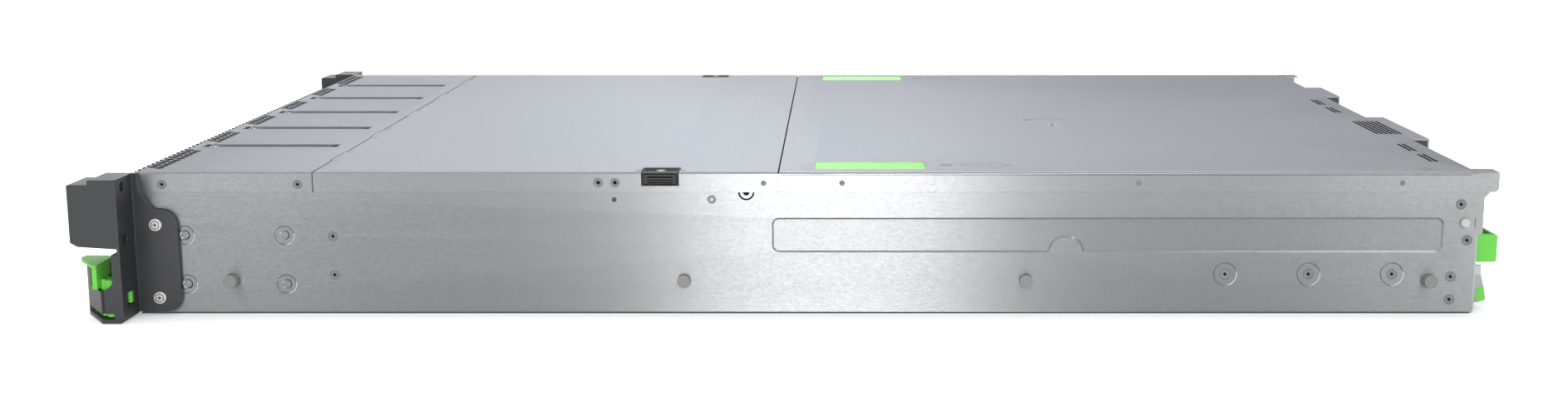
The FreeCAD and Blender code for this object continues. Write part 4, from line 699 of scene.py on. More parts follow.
# Painted shade and highlight lines along the folds, each with its two sizes and the radius of its corners
FOLD_START = 1.0
FOLD_LINE = (806.0, 0.95, 0.3)
REAR_COVER_FRONT = 390.0
TOP_LINE = (0.7, 414.0, 0.3)
TOP_LINE_INSET = 1.5
FLANGE_LINE = (414.0, 0.25, 0.1)
FLANGE_HEIGHT = 85.5


def fold_shading():
    """Painted shade along the lower fold of each wall, and a painted highlight and painted shade along the
    rear cover's edge.
    """
    folds = Piece("fold_shading", fold_shade)
    shades = Piece("rear_cover_shades", fold_shade, "rear_cover")
    edges = Piece("rear_cover_edge_highlights", painted_edge_highlight, "rear_cover")
    for side in SIDES:
        place = on_side(side, FOLD_LINE[0] / 2 + FOLD_START, FOLD_LINE[1] / 2)
        folds.prism(place, rounded(*FOLD_LINE), LET_IN, PRINT)
        place = on_top(side * (HALF - TOP_LINE_INSET), REAR_COVER_FRONT + TOP_LINE[1] / 2)
        edges.prism(place, rounded(*TOP_LINE), -PRINT, PRINT)
        place = on_side(side, REAR_COVER_FRONT + FLANGE_LINE[0] / 2, FLANGE_HEIGHT)
        shades.prism(place, rounded(*FLANGE_LINE), LET_IN, PRINT)


# Vents of the front top panel: the middle of each group and its number of holes in a row
VENT_PITCH = 6.2
VENT_RADIUS = 2.6
VENT_FRONT = 0.6
VENT_ROW = VENT_PITCH * sqrt(3) / 2
VENT_GROUPS = ((-184.25, 8), (-116.2, 6), (-46.6, 6), (23.0, 6), (92.6, 6), (172.45, 10))
EDGE_VENTS = 34
EDGE_NOTCH = [(-2.2, 0.3), (-2.2, 1.9), (0, 3.17), (2.2, 1.9), (2.2, 0.3)]
HOLE_SHADE_DEPTH = 1.0
HOLE_SHADE_OUT, HOLE_SHADE_IN = 0.3, 0.05


def vent_hole_shading():
    """Painted shade lining the honeycomb holes and the notches along the front edge, reaching onto the sheet
    round them.
    """
    rims = Piece("vent_hole_shading", shade_and_dark_marks)
    outer, inner = hexagon(VENT_RADIUS + HOLE_SHADE_OUT), hexagon(VENT_RADIUS - HOLE_SHADE_IN)
    for middle, count in VENT_GROUPS:
        for row in (1, 2):
            for index in range(count):
                x = middle + (2 * index - count + row) / 2 * VENT_PITCH
                rims.band(on_top(x, VENT_FRONT + row * VENT_ROW), outer, inner, -HOLE_SHADE_DEPTH, PRINT)
    for index in range(-EDGE_VENTS, EDGE_VENTS + 1):
        rims.prism(on_top(index * VENT_PITCH, 0), strip(EDGE_NOTCH, LINE), -HOLE_SHADE_DEPTH, PRINT)


# Beads of the front top panel, with a painted highlight on each ramp: the ramp's middle in u and z
BEAD_SHIFT, BEAD_PITCH = -11.8, 69.6
BEAD_MIDDLES = [BEAD_SHIFT + BEAD_PITCH * index for index in range(-2, 3)]
RAMP_MIDDLE = (15.75, 85.7)
RAMP_RUN, RAMP_DROP = 6.5, 2.6
RAMP_HIGHLIGHT = (8.4, 6.4, 0.4)


def bead_ramp_highlights():
    """Painted highlights on the ramps at the front ends of the beads."""
    highlights = Piece("bead_ramp_highlights", press_glint)
    length = hypot(RAMP_RUN, RAMP_DROP)
    down = (0, RAMP_RUN / length, -RAMP_DROP / length)
    out = (0, RAMP_DROP / length, RAMP_RUN / length)
    for x in BEAD_MIDDLES:
        place = frame_of(spot(x, *RAMP_MIDDLE), (1, 0, 0), down, out)
        highlights.prism(place, rounded(*RAMP_HIGHLIGHT), -PRINT, PRINT)


# Latches of the middle cover
LATCH_MIDDLE = 317.0
DIAMOND_X = 211.2
DIAMOND = [(-2.8, 0), (0, -3.3), (2.8, 0), (0, 3.3)]
GROOVE_HEIGHTS = (84.2, 82.5, 80.9)
GROOVE = (15.4, 0.62, 0.25)
GROOVE_DEPTH, GROOVE_PROUD = -0.7, 0.02
PAD_LINE, PAD_ROUND = 20.4, (0.9, 4)
PAD_MARGIN = 1.0
PAD_DROP = 0.2
SLIT_X, SLIT = 211.7, (1.6, 3.4, 0.6)
SLIT_DOT_X, SLIT_DOT = 208.6, 1.5
SLITS = ((303.5, 306.2), (330.5, 328.0))


def latch_marks():
    """A green diamond on the tongue, grooves across the finger pad and slits in the cover beside it."""
    for side, word in NAMED_SIDES:
        mark = Piece(f"latch_mark_{word}", pad_print, f"latch_{word}")
        mark.prism(on_top(side * DIAMOND_X, LATCH_MIDDLE), DIAMOND, -PRINT, PRINT)
        x0, x1, _, _, z0, _ = extent(f"latch_pad_{word}")
        face = max(abs(x0), abs(x1)) - HALF
        grooves = Piece(f"latch_grooves_{word}", dark_hole, f"latch_{word}")
        for z in GROOVE_HEIGHTS:
            place = on_side(side, LATCH_MIDDLE, z, face)
            grooves.prism(place, rounded(*GROOVE), GROOVE_DEPTH, GROOVE_PROUD)
        edge = rounded(PAD_LINE, TOP - z0 - PAD_MARGIN, *PAD_ROUND)
        place = on_side(side, LATCH_MIDDLE, (TOP + z0) / 2 - PAD_DROP, face)
        grooves.band(place, edge, inset(edge, LINE), GROOVE_DEPTH, GROOVE_PROUD)
        slits = Piece(f"latch_slits_{word}", shade_and_dark_marks, "middle_cover")
        for u, dot in SLITS:
            slits.prism(on_top(side * SLIT_X, u), rounded(*SLIT), -PRINT, PRINT)
            slits.prism(on_top(side * SLIT_DOT_X, dot), circle(SLIT_DOT, 20), -PRINT, PRINT)


# Ear screws: domed heads with a hexagonal edge line and a cross
SCREW_BACK = 13.9
SCREW_HEIGHTS = (10.6, 55.6)
SCREW_RADIUS = 3.85
SCREW_HEAD = [(SCREW_RADIUS, 0), (SCREW_RADIUS, 0.75), (SCREW_RADIUS - 0.35, 1.1), (1.2, 1.2)]
SCREW_HEXAGON = 2.9
SCREW_LINE = 0.45
SCREW_CROSS = (2.6, 0.6)
SCREW_CUT, SCREW_FACE, SCREW_CROSS_FACE = 1.0, 1.2, 1.205
PLATE = 2.5


def ear_screws():
    heads = Piece("ear_screw_heads", screw_steel)
    cuts = Piece("ear_screw_drives", dark_hole)
    edge = hexagon(SCREW_HEXAGON)
    for side in SIDES:
        for z in SCREW_HEIGHTS:
            place = on_side(side, SCREW_BACK, z, PLATE)
            heads.turned(place, SCREW_HEAD, 36)
            cuts.band(place, edge, inset(edge, SCREW_LINE), SCREW_CUT, SCREW_FACE)
            cuts.cross(place, *SCREW_CROSS, SCREW_CUT, SCREW_CROSS_FACE)
    head = heads.done()
    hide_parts("ear_screws")


# Green tips over the ends of the power supplies' cam levers: u from the lever's end, and z
CAM_TIP = ((-5.9, 4.0), (0.2, 5.6), (-1.2, 14.9), (-5.5, 13.6))
CAM_TIP_MORE = 0.5
CAM_TIP_ROUND = 0.6


def cam_tips():
    for number in PAIR:
        x0, x1, _, end, _, _ = extent(f"supply_cam_{number}")
        wide = x1 - x0 + CAM_TIP_MORE
        tip = Piece(f"supply_cam_tip_{number}", green_plastic, f"supply_cam_{number}")
        place = facing(1, (x0 + x1) / 2 - wide / 2, 0, 0)
        tip.prism(place, [(end + u, z) for u, z in CAM_TIP], 0, wide)
        piece = tip.done()
        bevel = piece.modifiers.new("edges", "BEVEL")
        bevel.width = CAM_TIP_ROUND * MM
        bevel.segments = 3


# Front: louvres in the blanks, inlays and lenses on the drives
BAYS = 24
BLANK_BAYS = 20
BAY_PITCH = 17.45
DRIVES = (1, 2, 3, 4)
BEZEL_FACE = -6.0
RECESS_FACE = -4.8
LOUVRE = (9.6, 1.4)
LOUVRE_HIGH = 0.45
LOUVRE_ROWS = (15.0, 59.0, 12)
BLANK_MIDDLE = 37.0
BLANK_FRAME = (10.4, 49.4, 1.2, 5)
BLANK_FRAME_WIDTH, BLANK_FRAME_HIGH = 0.5, 0.7


def blank_louvres():
    louvres = Piece("blank_louvres", bezel_plastic)
    frame_line = rounded(*BLANK_FRAME)
    for bay in range(BLANK_BAYS):
        x = (bay - (BAYS - 1) / 2) * BAY_PITCH
        for z in steps(*LOUVRE_ROWS):
            louvres.prism(on_front(x, z, RECESS_FACE), bar(*LOUVRE), DEEP_IN, LOUVRE_HIGH)
        place = on_front(x, BLANK_MIDDLE, RECESS_FACE)
        louvres.band(place, frame_line, inset(frame_line, BLANK_FRAME_WIDTH), DEEP_IN, BLANK_FRAME_HIGH)


INLAY = (8.4, 34.0, 1.6, 5)
INLAY_HEIGHTS = (-0.4, 0.25)
INLAY_MIDDLE = 22.0
INLAY_HOLE = [(0.85, 0.1), (0.85, 0.27), (0.7, 0.28)]
INLAY_ROWS = (8.0, 36.0, 15)
INLAY_PITCH = 2.4
GRIP_RIB = (7.0, 0.7, 0.3)
GRIP_RIBS = (-8.0, -3.0, 4)
GRIP_RIB_HIGH = 0.3
DRIVE_LENS = [(0.95, -0.5), (0.95, 0.1), (0.7, 0.35), (0.3, 0.45)]
DRIVE_LENS_SHIFTS = (-3.0, 3.0)
DRIVE_LENS_RISE = 2.6


def drive_details():
    """A perforated inlay and ribs on each grip, and two lenses over it."""
    for number in DRIVES:
        grip = f"drive_grip_{number}"
        x0, x1, front, _, low, high = extent(grip)
        x = (x0 + x1) / 2
        inlay = Piece(f"drive_inlay_{number}", bezel_plastic, grip)
        holes = Piece(f"drive_inlay_holes_{number}", dark_hole, grip)
        ribs = Piece(f"drive_grip_ribs_{number}", green_plastic, grip)
        lenses = Piece(f"drive_lenses_{number}", lens_plastic, f"drive_{number}")
        inlay.prism(on_front(x, low + INLAY_MIDDLE, front), rounded(*INLAY), *INLAY_HEIGHTS)
        for row, rise in enumerate(steps(*INLAY_ROWS)):
            shift = INLAY_PITCH / 4 * (1 if row % 2 else -1)
            for column in (-1, 0, 1):
                place = on_front(x + INLAY_PITCH * column + shift, low + rise, front)
                holes.turned(place, INLAY_HOLE, 6)
        for drop in steps(*GRIP_RIBS):
            ribs.prism(on_front(x, high + drop, front), rounded(*GRIP_RIB), DEEP_IN, GRIP_RIB_HIGH)
        for shift in DRIVE_LENS_SHIFTS:
            lenses.turned(on_front(x + shift, high + DRIVE_LENS_RISE, BEZEL_FACE), DRIVE_LENS, 18)


# Ears: rings round the buttons, the sign of a power switch, lenses, and what fills the front sockets
EAR_MIDDLE = 229.55
BLOCK_FACE = -27.7
EAR_UPPER, EAR_LOWER, EAR_LENSES = 72.0, 60.0, 53.0
BUTTON_RINGS = ((EAR_UPPER, 5.6, 4.75, 36, 0.35), (EAR_LOWER, 3.7, 3.0, 30, 0.3))
SIGN_ARC = (radians(125), radians(415))
SIGN_RADII = (2.2, 1.75)
SIGN_BAR = (0.5, 2.0, 0, 1.6)
EAR_LENS = [(0.9, -0.6), (0.9, 0.0), (0.6, 0.3)]
EAR_LENS_SHIFTS = (-4.0, 0.0, 4.0)
EAR_LENS_INSET = 0.35
CONTACT = (1.0, 0.3)
CONTACT_SHIFTS = (-3.6, -1.2, 1.2, 3.6)
EAR_PORT = ((10.6, 1.8, 0.4), (-10.5, -1.2), -1.0, (-9.0, -1.6))


def fill_port(tongues, contacts, place, tongue, tongue_depth, drop, contact_depth):
    """A tongue with four contacts below its middle, inside a socket."""
    tongues.prism(place, rounded(*tongue), *tongue_depth)
    for shift in CONTACT_SHIFTS:
        contacts.prism(place, bar(*CONTACT, shift, drop), *contact_depth)


def ear_marks():
    rings = Piece("button_rings", bright_rivet)
    sign = Piece("power_sign", mark_print, "power_button")
    lenses = Piece("ear_lenses", lens_plastic)
    tongues = Piece("front_tongues", pale_plastic)
    contacts = Piece("front_contacts", gold)
    for z, outer, inner, sides, height in BUTTON_RINGS:
        place = on_front(EAR_MIDDLE, z, BLOCK_FACE)
        rings.band(place, circle(outer, sides), circle(inner, sides), DEEP_IN, height)
    place = on_front(EAR_MIDDLE, EAR_UPPER, extent("power_button")[2])
    for outline in (crescent(*SIGN_RADII, 24, *SIGN_ARC), bar(*SIGN_BAR)):
        sign.prism(place, outline, LET_IN, PRINT)
    for shift in EAR_LENS_SHIFTS:
        lenses.turned(on_front(EAR_MIDDLE + shift, EAR_LENSES, BLOCK_FACE + EAR_LENS_INSET), EAR_LENS, 18)
    for z in (EAR_UPPER, EAR_LOWER):
        fill_port(tongues, contacts, on_front(-EAR_MIDDLE, z, BLOCK_FACE), *EAR_PORT)


# Release levers: grooves on the slanted ledge and on the thumb tab, and pins on the bracket's rear
LEDGE = 26.0
LEDGE_MIDDLE = (229.6, -13.0)
LEDGE_ALONG, LEDGE_ACROSS = (0.773, 0.634), (-0.634, 0.773)
LEDGE_GROOVES = (-1.7, 1.7)
LEDGE_REACH, LEDGE_HALF = 5, 0.35
TAB_TOP = 35.2
TAB_GROOVE = (9.0, 0.6, 218.6, -28.6)
LEVER_PRINT = 0.04
FLANGE_BACK = 1.0
FLANGE_PIN = [(0.95, DEEP_IN), (0.95, 0.2), (0.6, 0.45)]
FLANGE_PIN_X = 229.0
FLANGE_PIN_HEIGHTS = (22.4, 6.4)


def lever_lines():
    along, across = Vector(LEDGE_ALONG), Vector(LEDGE_ACROSS)
    for side, word in NAMED_SIDES:
        ledge, tab = (frame_of(spot(0, 0, z), (side, 0, 0), (0, 1, 0), (0, 0, 1)) for z in (LEDGE, TAB_TOP))
        grooves = Piece(f"lever_grooves_{word}", deep_green, f"ear_lever_{word}")
        pins = Piece(f"flange_pins_{word}", ear_paint)
        for offset in LEDGE_GROOVES:
            middle = Vector(LEDGE_MIDDLE) + across * offset
            corners = bar(2 * LEDGE_REACH, 2 * LEDGE_HALF)
            outline = [tuple(middle + along * reach + across * half) for reach, half in corners]
            grooves.prism(ledge, outline, DEEP_IN, LEVER_PRINT)
        grooves.prism(tab, bar(*TAB_GROOVE), DEEP_IN, LEVER_PRINT)
        for z in FLANGE_PIN_HEIGHTS:
            pins.turned(on_rear(side * FLANGE_PIN_X, z, FLANGE_BACK), FLANGE_PIN, 16)


# Rear sockets: contacts and lamps of the jacks, tongues of the ports, pin holes of the screen socket
JACK_MIDDLES = (-190.0, -170.0, -144.0, -124.0)
JACK_CONTACTS = (-3.6, 3.6, 8)
JACK_CONTACT, JACK_CONTACT_RISE, JACK_DEPTH = (0.5, 0.7), 3.3, (-12.0, -1.5)
JACK_LAMP = [(0.9, -0.4), (0.9, 0.05), (0.6, 0.2)]
JACK_LAMP_SHIFTS = (-6.4, 6.4)
JACK_LAMP_RISE = 12.6
PORT_MIDDLES = (-96.0, -76.0)
PORT_RISES = (4.3, 12.1)
REAR_PORT = ((10.4, 1.7, 0.4), (-14.0, -1.4), -0.95, (-11.0, -2.0))
SCREEN_MIDDLE = -36.0
SCREEN_TONGUE = [(-8.2, 3.8), (-7.4, -3.8), (7.4, -3.8), (8.2, 3.8)]
SCREEN_HOLE = [(0.55, -2.0), (0.55, -1.16), (0.4, -1.15)]
SCREEN_COLUMNS = (-5.2, 5.2, 5)
SCREEN_LEAN, SCREEN_ROW = 0.5, 2.2
SCREEN_DEPTH = (-5.8, -1.2)
SCREEN_NUT = [(2.4, DEEP_IN), (2.4, 2.2), (1.5, 2.6)]
SCREEN_NUT_SHIFTS = (-12.5, 12.5)
SOCKET_FACE = 0.8
SOCKET_RISE = 7.0
BOARD_TOP = 8.6


def rear_contacts():
    contacts = Piece("rear_contacts", gold)
    tongues = Piece("rear_tongues", port_plastic)
    lamps = Piece("rear_lamps", lens_plastic)
    pins = Piece("screen_pin_holes", dark_hole)
    face = REAR_FACE + SOCKET_FACE
    middle = BOARD_TOP + SOCKET_RISE
    for x in JACK_MIDDLES:
        place = on_rear(x, middle, face)
        for shift in steps(*JACK_CONTACTS):
            contacts.prism(place, bar(*JACK_CONTACT, shift, JACK_CONTACT_RISE), *JACK_DEPTH)
        for shift in JACK_LAMP_SHIFTS:
            lamps.turned(on_rear(x + shift, BOARD_TOP + JACK_LAMP_RISE, face), JACK_LAMP, 14)
    for x in PORT_MIDDLES:
        for rise in PORT_RISES:
            fill_port(tongues, contacts, on_rear(x, BOARD_TOP + rise, face), *REAR_PORT)
    tongues.prism(on_rear(SCREEN_MIDDLE, middle, face), SCREEN_TONGUE, *SCREEN_DEPTH)
    for row in (-1, 0, 1):
        for shift in steps(*SCREEN_COLUMNS):
            place = on_rear(SCREEN_MIDDLE + shift + SCREEN_LEAN * row, middle + SCREEN_ROW * row, face)
            pins.turned(place, SCREEN_HOLE, 10)
    for shift in SCREEN_NUT_SHIFTS:
        contacts.turned(on_rear(SCREEN_MIDDLE + shift, middle, face), SCREEN_NUT, 6)


# Rear panel: screws at x and z, and rows of air holes
REAR_SCREWS = ((-205.0, 45.0), (-107.0, 45.0), (-6.0, 45.0), (52.0, 45.0),
               (52.0, 6.0), (-205.0, 6.0), (-107.0, 6.0))
REAR_SCREW = [(2.6, LET_IN), (2.6, 0.7), (2.1, 1.1), (0.9, 1.2)]
REAR_CROSS = (2.4, 0.5, 0.9, 1.21)
AIR_HOLE = [(1.65, LET_IN), (1.65, 0.02), (1.4, 0.025)]
AIR_HEIGHTS = (30.5, 34.4, 38.3, 42.2)
AIR_COLUMNS = (-198.0, 42.0, 54)
AIR_SHIFT = 2.2


def rear_plate_details():
    screws = Piece("rear_screws", screw_steel)
    cuts = Piece("rear_screw_drives", dark_hole)
    holes = Piece("rear_air_holes", dark_hole)
    for x, z in REAR_SCREWS:
        place = on_rear(x, z, REAR_FACE)
        screws.turned(place, REAR_SCREW, 24)
        cuts.cross(place, *REAR_CROSS)
    for row, z in enumerate(AIR_HEIGHTS):
        for x in steps(*AIR_COLUMNS):
            holes.turned(on_rear(x + AIR_SHIFT * (row % 2), z, REAR_FACE), AIR_HOLE, 6)


# Power supplies: a lamp near the upper corner, and a notch in each root of the handle
SUPPLY_LAMP = [(1.5, -0.4), (1.5, 0.2), (1.0, 0.6), (0.4, 0.7)]
SUPPLY_LAMP_CORNER = (6.0, 4.0)
HANDLE_NOTCH = (2.6, 7.0, 0.6)
HANDLE_NOTCH_BACK = 1.9


def supply_details():
    for number in PAIR:
        left, _, _, _, _, top = extent(f"supply_case_{number}")
        lamp = Piece(f"supply_lamp_{number}", lens_plastic, f"supply_{number}")
        notches = Piece(f"supply_handle_notches_{number}", deep_green, f"supply_{number}")
        inward, down = SUPPLY_LAMP_CORNER
        lamp.turned(on_rear(left + inward, top - down, REAR_FACE), SUPPLY_LAMP, 20)
        x0, x1, front, _, z0, z1 = extent(f"supply_handle_{number}")
        for x, way in ((x0, -1), (x1, 1)):
            place = facing(way, x, front + HANDLE_NOTCH_BACK, (z0 + z1) / 2)
            notches.prism(place, rounded(*HANDLE_NOTCH), DEEP_IN, PRINT)


# Painted shade under the vents: rows of dark bars under the front vents and, by middle and width, under each
# group of rear slots
SLOT_GROUPS = ((56.0, 58.0), (-60.0, 30.0), (-22.5, 30.0), (133.5, 30.0), (170.0, 30.0))
SLOT_ROWS = (790.8, 805.8, 7)
FRONT_ROWS = (2.6, 12.6, 5)
FRONT_WIDTH = 420.0
VENT_SHADE_BAR = (2.6, 0.6)
VENT_SHADE_DROP = 6.0
VENT_SHADE_LOW, SLOT_HIGH, FRONT_HIGH = -2.0, 3.2, 5.75


def vent_shade_bars():
    # Dark bars under the vents stand in for the shade inside the case.
    shade_bars = Piece("vent_shade_bars", dark_hole)
    for x, wide in SLOT_GROUPS:
        for u in steps(*SLOT_ROWS):
            place = on_top(x, u, VENT_SHADE_DROP)
            shade_bars.prism(place, rounded(wide, *VENT_SHADE_BAR), VENT_SHADE_LOW, SLOT_HIGH)
    for u in steps(*FRONT_ROWS):
        place = on_top(0, u, VENT_SHADE_DROP)
        shade_bars.prism(place, rounded(FRONT_WIDTH, *VENT_SHADE_BAR), VENT_SHADE_LOW, FRONT_HIGH)


# Memory: modules on both sides of each processor, with chips and contacts, and a clip at each end
PROCESSOR_X = 105.0
MODULE_FIRST, MODULE_PITCH, MODULES_A_BANK = 46.0, 8.4, 6
MODULE_SHIFTS = [way * (MODULE_FIRST + MODULE_PITCH * k) for way in (-1, 1) for k in range(MODULES_A_BANK)]
MODULE_MIDDLE = 354.0
MODULE_HEIGHT = 26.0
MODULE_FACE = 1.7
MODULE_CHIP = (10.0, 13.0)
MODULE_CHIPS = (-57, -44, -31, -18, 18, 31, 44, 57)
MODULE_CONTACTS = (126.0, 3.0, 0, -13.0)
MODULE_CHIP_HIGH, MODULE_CONTACT_HIGH = 0.8, 0.06
CLIP_REACH = 67.5
CLIP = [(-2.2, 0), (2.2, 0), (2.2, 17.0), (1.2, 20.0), (-1.2, 20.0), (-2.2, 17.0)]
CLIP_DEPTH = 4.5


def memory_details():
    chips = Piece("memory_chips", fan_plastic)
    clips = Piece("memory_clips", bezel_plastic)
    contacts = Piece("memory_contacts", gold)
    for x in [side * PROCESSOR_X + shift for side in SIDES for shift in MODULE_SHIFTS]:
        for face in (-1, 1):
            place = facing(face, x + face * MODULE_FACE, MODULE_MIDDLE, MODULE_HEIGHT)
            for shift in MODULE_CHIPS:
                chips.prism(place, bar(*MODULE_CHIP, shift), LET_IN, MODULE_CHIP_HIGH)
            contacts.prism(place, bar(*MODULE_CONTACTS), LET_IN, MODULE_CONTACT_HIGH)
        for end in (-1, 1):
            foot = spot(x, MODULE_MIDDLE + end * CLIP_REACH, BOARD_TOP)
            clips.prism(frame_of(foot, (1, 0, 0), (0, 0, 1), (0, end, 0)), CLIP, 0.0, CLIP_DEPTH)


# Main board: chips at x and u with their size, and coils between two rows of capacitors for each processor
BOARD_CHIPS = ((-150.0, 470.0, 24.0), (-95.0, 560.0, 18.0), (-30.0, 480.0, 38.0), (35.0, 560.0, 22.0),
               (110.0, 490.0, 26.0), (170.0, 560.0, 16.0), (-160.0, 650.0, 20.0), (-60.0, 690.0, 28.0),
               (10.0, 740.0, 14.0))
CHIP_LOW, CHIP_HIGH, CHIP_ROUND = 0.3, 2.4, 0.8
LEG_WIDTH, LEG_HIGH, LEG_REACH, LEG_PITCH, LEG_MARGIN = 0.6, 0.4, 2.4, 1.6, 1.5
COIL_ROW = 266.0
COIL_HALF_ROW, COILS = 45.0, 8
COIL, COIL_HIGH = (9.6, 9.6, 1.4), 6.5
SOLDER = -0.1
CAN_ROWS = (13.0, -13.0)
CAN = [(3.2, SOLDER), (3.2, 0.8), (2.9, 1.2), (3.2, 1.6), (3.2, 8.6), (2.8, 9.0)]
CAN_SCORES = (4.0, 0.3, 8.9, 9.03)


def board_details():
    chips = Piece("board_chips", fan_plastic)
    coils = Piece("board_coils", bezel_plastic)
    cans = Piece("board_cans", bright_rivet)
    tops = Piece("board_can_scores", dark_hole)
    pins = Piece("board_pins", bright_steel)
    for x, u, size in BOARD_CHIPS:
        place = level(x, u, BOARD_TOP)
        chips.prism(place, rounded(size, size, CHIP_ROUND), CHIP_LOW, CHIP_HIGH)
        span, long = size / 2 - LEG_MARGIN, size + LEG_REACH
        for shift in steps(-span, span, int(size / LEG_PITCH)):
            for leg in (bar(long, LEG_WIDTH, 0, shift), bar(LEG_WIDTH, long, shift, 0)):
                pins.prism(place, leg, SOLDER, LEG_HIGH)
    for side in SIDES:
        middle = side * PROCESSOR_X
        for x in steps(middle - COIL_HALF_ROW, middle + COIL_HALF_ROW, COILS):
            coils.prism(level(x, COIL_ROW, BOARD_TOP), rounded(*COIL), SOLDER, COIL_HIGH)
            for row in CAN_ROWS:
                place = level(x, COIL_ROW + row, BOARD_TOP)
                cans.turned(place, CAN, 20)
                tops.cross(place, *CAN_SCORES)


# Fans: a cap with five dots on each hub
FANS = 6
FAN_PITCH = 70.0
FAN_HEIGHT = 33.2
HUB_CAP = [(12.8, -0.4), (12.8, 0.15), (12.2, 0.3), (6.0, 0.35), (5.6, 0.1), (2.0, 0.1)]
HUB_DOT = [(0.8, 0.2), (0.8, 0.5), (0.5, 0.6)]
HUB_DOTS = 5
HUB_DOT_CIRCLE = 9.2


def fan_hubs():
    for number in range(1, FANS + 1):
        front = extent(f"fan_rotor_{number}")[2]
        x = (number - (FANS + 1) / 2) * FAN_PITCH
        hub = Piece(f"fan_hub_{number}", bezel_plastic, f"fan_rotor_{number}")
        hub.turned(on_front(x, FAN_HEIGHT, front), HUB_CAP, 36)
        for a, b in circle(HUB_DOT_CIRCLE, HUB_DOTS):
            hub.turned(on_front(x + a, FAN_HEIGHT + b, front), HUB_DOT, 10)


# Floor, light and camera: the floor and the lamps in metres, the eye in millimetres
FLOOR_SIZE = 30.0
FOOTPRINT = (0.2175, 0.4, 0)
FLOOR_GLOW = (0.19, 0.95)
GLOW_REACH = (0.0, 0.072)
SKY_LIGHT, SKY_SEEN = 0.55, 1.0
WHITE = (1, 1, 1)
COOL = (0.95, 0.98, 1.0)
ALL_ROUND = 180
LAMPS = {
    "overhead": ((0.1, 0.0, 1.9), (0.1, 0, 0), (2.2, 2.6), 12, ALL_ROUND, WHITE),
    "strip": ((1.35, 0.01, 0.17), (0.2, 0.01, 0.04), (0.355, 0.3), 8.8, ALL_ROUND, COOL),
    "front_end": ((1.35, -0.85, 0.27), (0.2, -0.4, 0.04), (0.4, 0.5), 1.2, ALL_ROUND, WHITE),
    "rear_end": ((1.35, 0.9, 0.27), (0.2, 0.4, 0.04), (0.4, 0.5), 2.0, ALL_ROUND, WHITE),
    "behind": ((-1.8, -1.5, 0.66), (0, -0.5, 0.08), (1.6, 0.6), 1.8, 90, WHITE),
    "behind_middle": ((-1.8, -0.06, 0.66), (0, -0.05, 0.08), (0.5, 0.6), 0.62, 50, WHITE),
}
EYE = (1146.7, 425.9, 272.0)
TILT = 8.565
FOCAL = 36.265
SENSOR = 36.0
SHIFT_X = -0.0367
SHIFT_Y = -0.064
CLIP_START = 0.01


def looked_at(tree):
    """One where the camera sees a surface straight, by reflection or through glass."""
    rays = tree.nodes.new("ShaderNodeLightPath")
    source = rays.outputs["Is Camera Ray"]
    for name in ("Is Glossy Ray", "Is Transmission Ray"):
        larger = tree.nodes.new("ShaderNodeMath")
        larger.operation = "MAXIMUM"
        tree.links.new(source, larger.inputs[0])
        tree.links.new(rays.outputs[name], larger.inputs[1])
        source = larger.outputs[0]
    return source


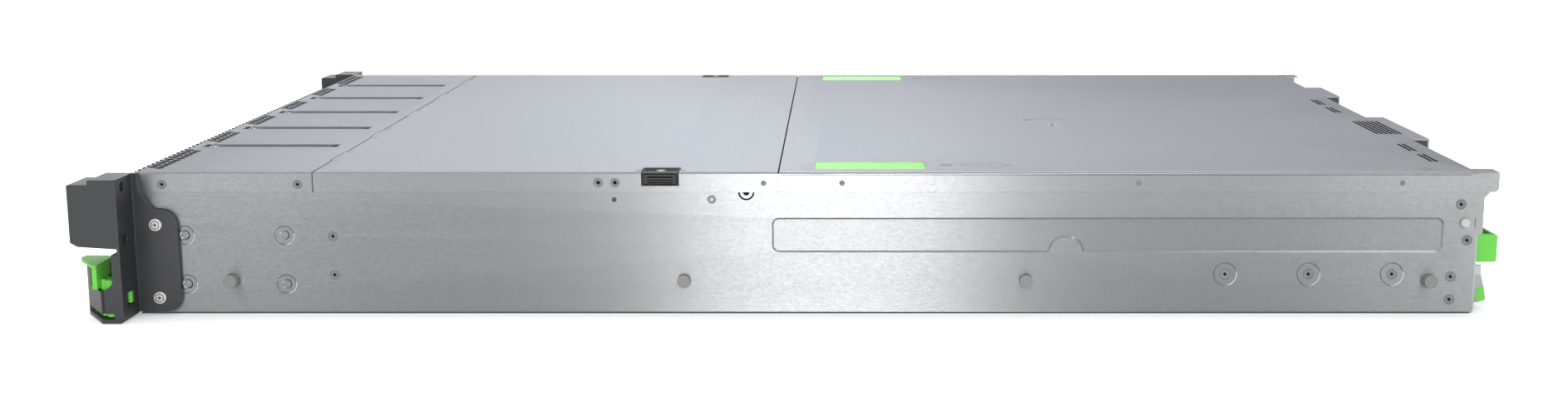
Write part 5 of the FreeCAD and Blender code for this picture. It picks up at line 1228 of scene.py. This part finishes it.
def floor():
    """A pale floor, which glows white away from the object and keeps its shadow near it."""
    mesh = bpy.data.meshes.new("floor")
    corners = [(a, b, 0) for a, b in bar(FLOOR_SIZE, FLOOR_SIZE)]
    mesh.from_pydata(corners, [], [(0, 1, 2, 3)])
    plane = placed("floor", mesh)
    finish = Finish("floor", roughness=0.9, specular_ior_level=0.1)
    finish.colour(finish.blend(finish.span(finish.noise(3), 0, 1), (0.9, 0.9, 0.9), (0.92, 0.92, 0.92)))
    finish.shader.inputs["Emission Color"].default_value = (1, 1, 1, 1)
    away = finish.place
    outside = (("ABSOLUTE", None), ("SUBTRACT", FOOTPRINT), ("MAXIMUM", (0, 0, 0)), ("LENGTH", None))
    for operation, value in outside:
        step = finish.node("ShaderNodeVectorMath", operation=operation)
        finish.link(away, step.inputs[0])
        if value:
            step.inputs[1].default_value = value
        away = step.outputs["Value" if operation == "LENGTH" else "Vector"]
    glow = finish.node("ShaderNodeMath", operation="MULTIPLY")
    finish.link(looked_at(finish.tree), glow.inputs[0])
    finish.link(finish.span(away, *FLOOR_GLOW, *GLOW_REACH), glow.inputs[1])
    finish.link(glow.outputs[0], finish.shader.inputs["Emission Strength"])
    mesh.materials.append(finish.material)


def world():
    """White behind the object, and an even grey light from all round."""
    made = bpy.data.worlds.new("studio")
    made.use_nodes = True
    tree = made.node_tree
    background = tree.nodes["Background"]
    strength = tree.nodes.new("ShaderNodeMapRange")
    strength.inputs["To Min"].default_value = SKY_LIGHT
    strength.inputs["To Max"].default_value = SKY_SEEN
    tree.links.new(looked_at(tree), strength.inputs["Value"])
    tree.links.new(strength.outputs["Result"], background.inputs["Strength"])
    background.inputs["Color"].default_value = (1, 1, 1, 1)
    bpy.context.scene.world = made


def softbox(name, place, aim, size, watts, spread, tint):
    """An area lamp that looks at a point, with its spread in degrees."""
    lamp = bpy.data.lights.new(name, "AREA")
    lamp.shape = "RECTANGLE"
    lamp.size, lamp.size_y = size
    lamp.energy = watts
    lamp.color = tint
    lamp.spread = radians(spread)
    stand = placed(name, lamp)
    stand.location = place
    stand.visible_camera = False
    stand.rotation_euler = (Vector(aim) - Vector(place)).to_track_quat("-Z", "Y").to_euler()


def camera():
    lens = bpy.data.cameras.new("camera")
    lens.sensor_width = SENSOR
    lens.lens = FOCAL
    lens.shift_x, lens.shift_y = SHIFT_X, SHIFT_Y
    lens.clip_start = CLIP_START
    stand = placed("camera", lens)
    stand.location = spot(*EYE)
    stand.rotation_euler = (radians(90 - TILT), 0, radians(90))
    bpy.context.scene.camera = stand


DETAILS = (
    side_rivets, side_pins, press_shading, rear_cover_marks, seam_edge_highlight, fold_shading, vent_hole_shading, bead_ramp_highlights,
    latch_marks, ear_screws, cam_tips, blank_louvres, drive_details, ear_marks, lever_lines, rear_contacts,
    rear_plate_details, supply_details, vent_shade_bars, memory_details, board_details, fan_hubs,
)

dress_nodes()
for add_details in DETAILS:
    add_details()
    for piece in list(Piece.waiting):
        piece.done()
floor()
world()
for lamp_name, lamp_settings in LAMPS.items():
    softbox(lamp_name, *lamp_settings)
camera()
bpy.context.scene.view_settings.view_transform = "Standard"
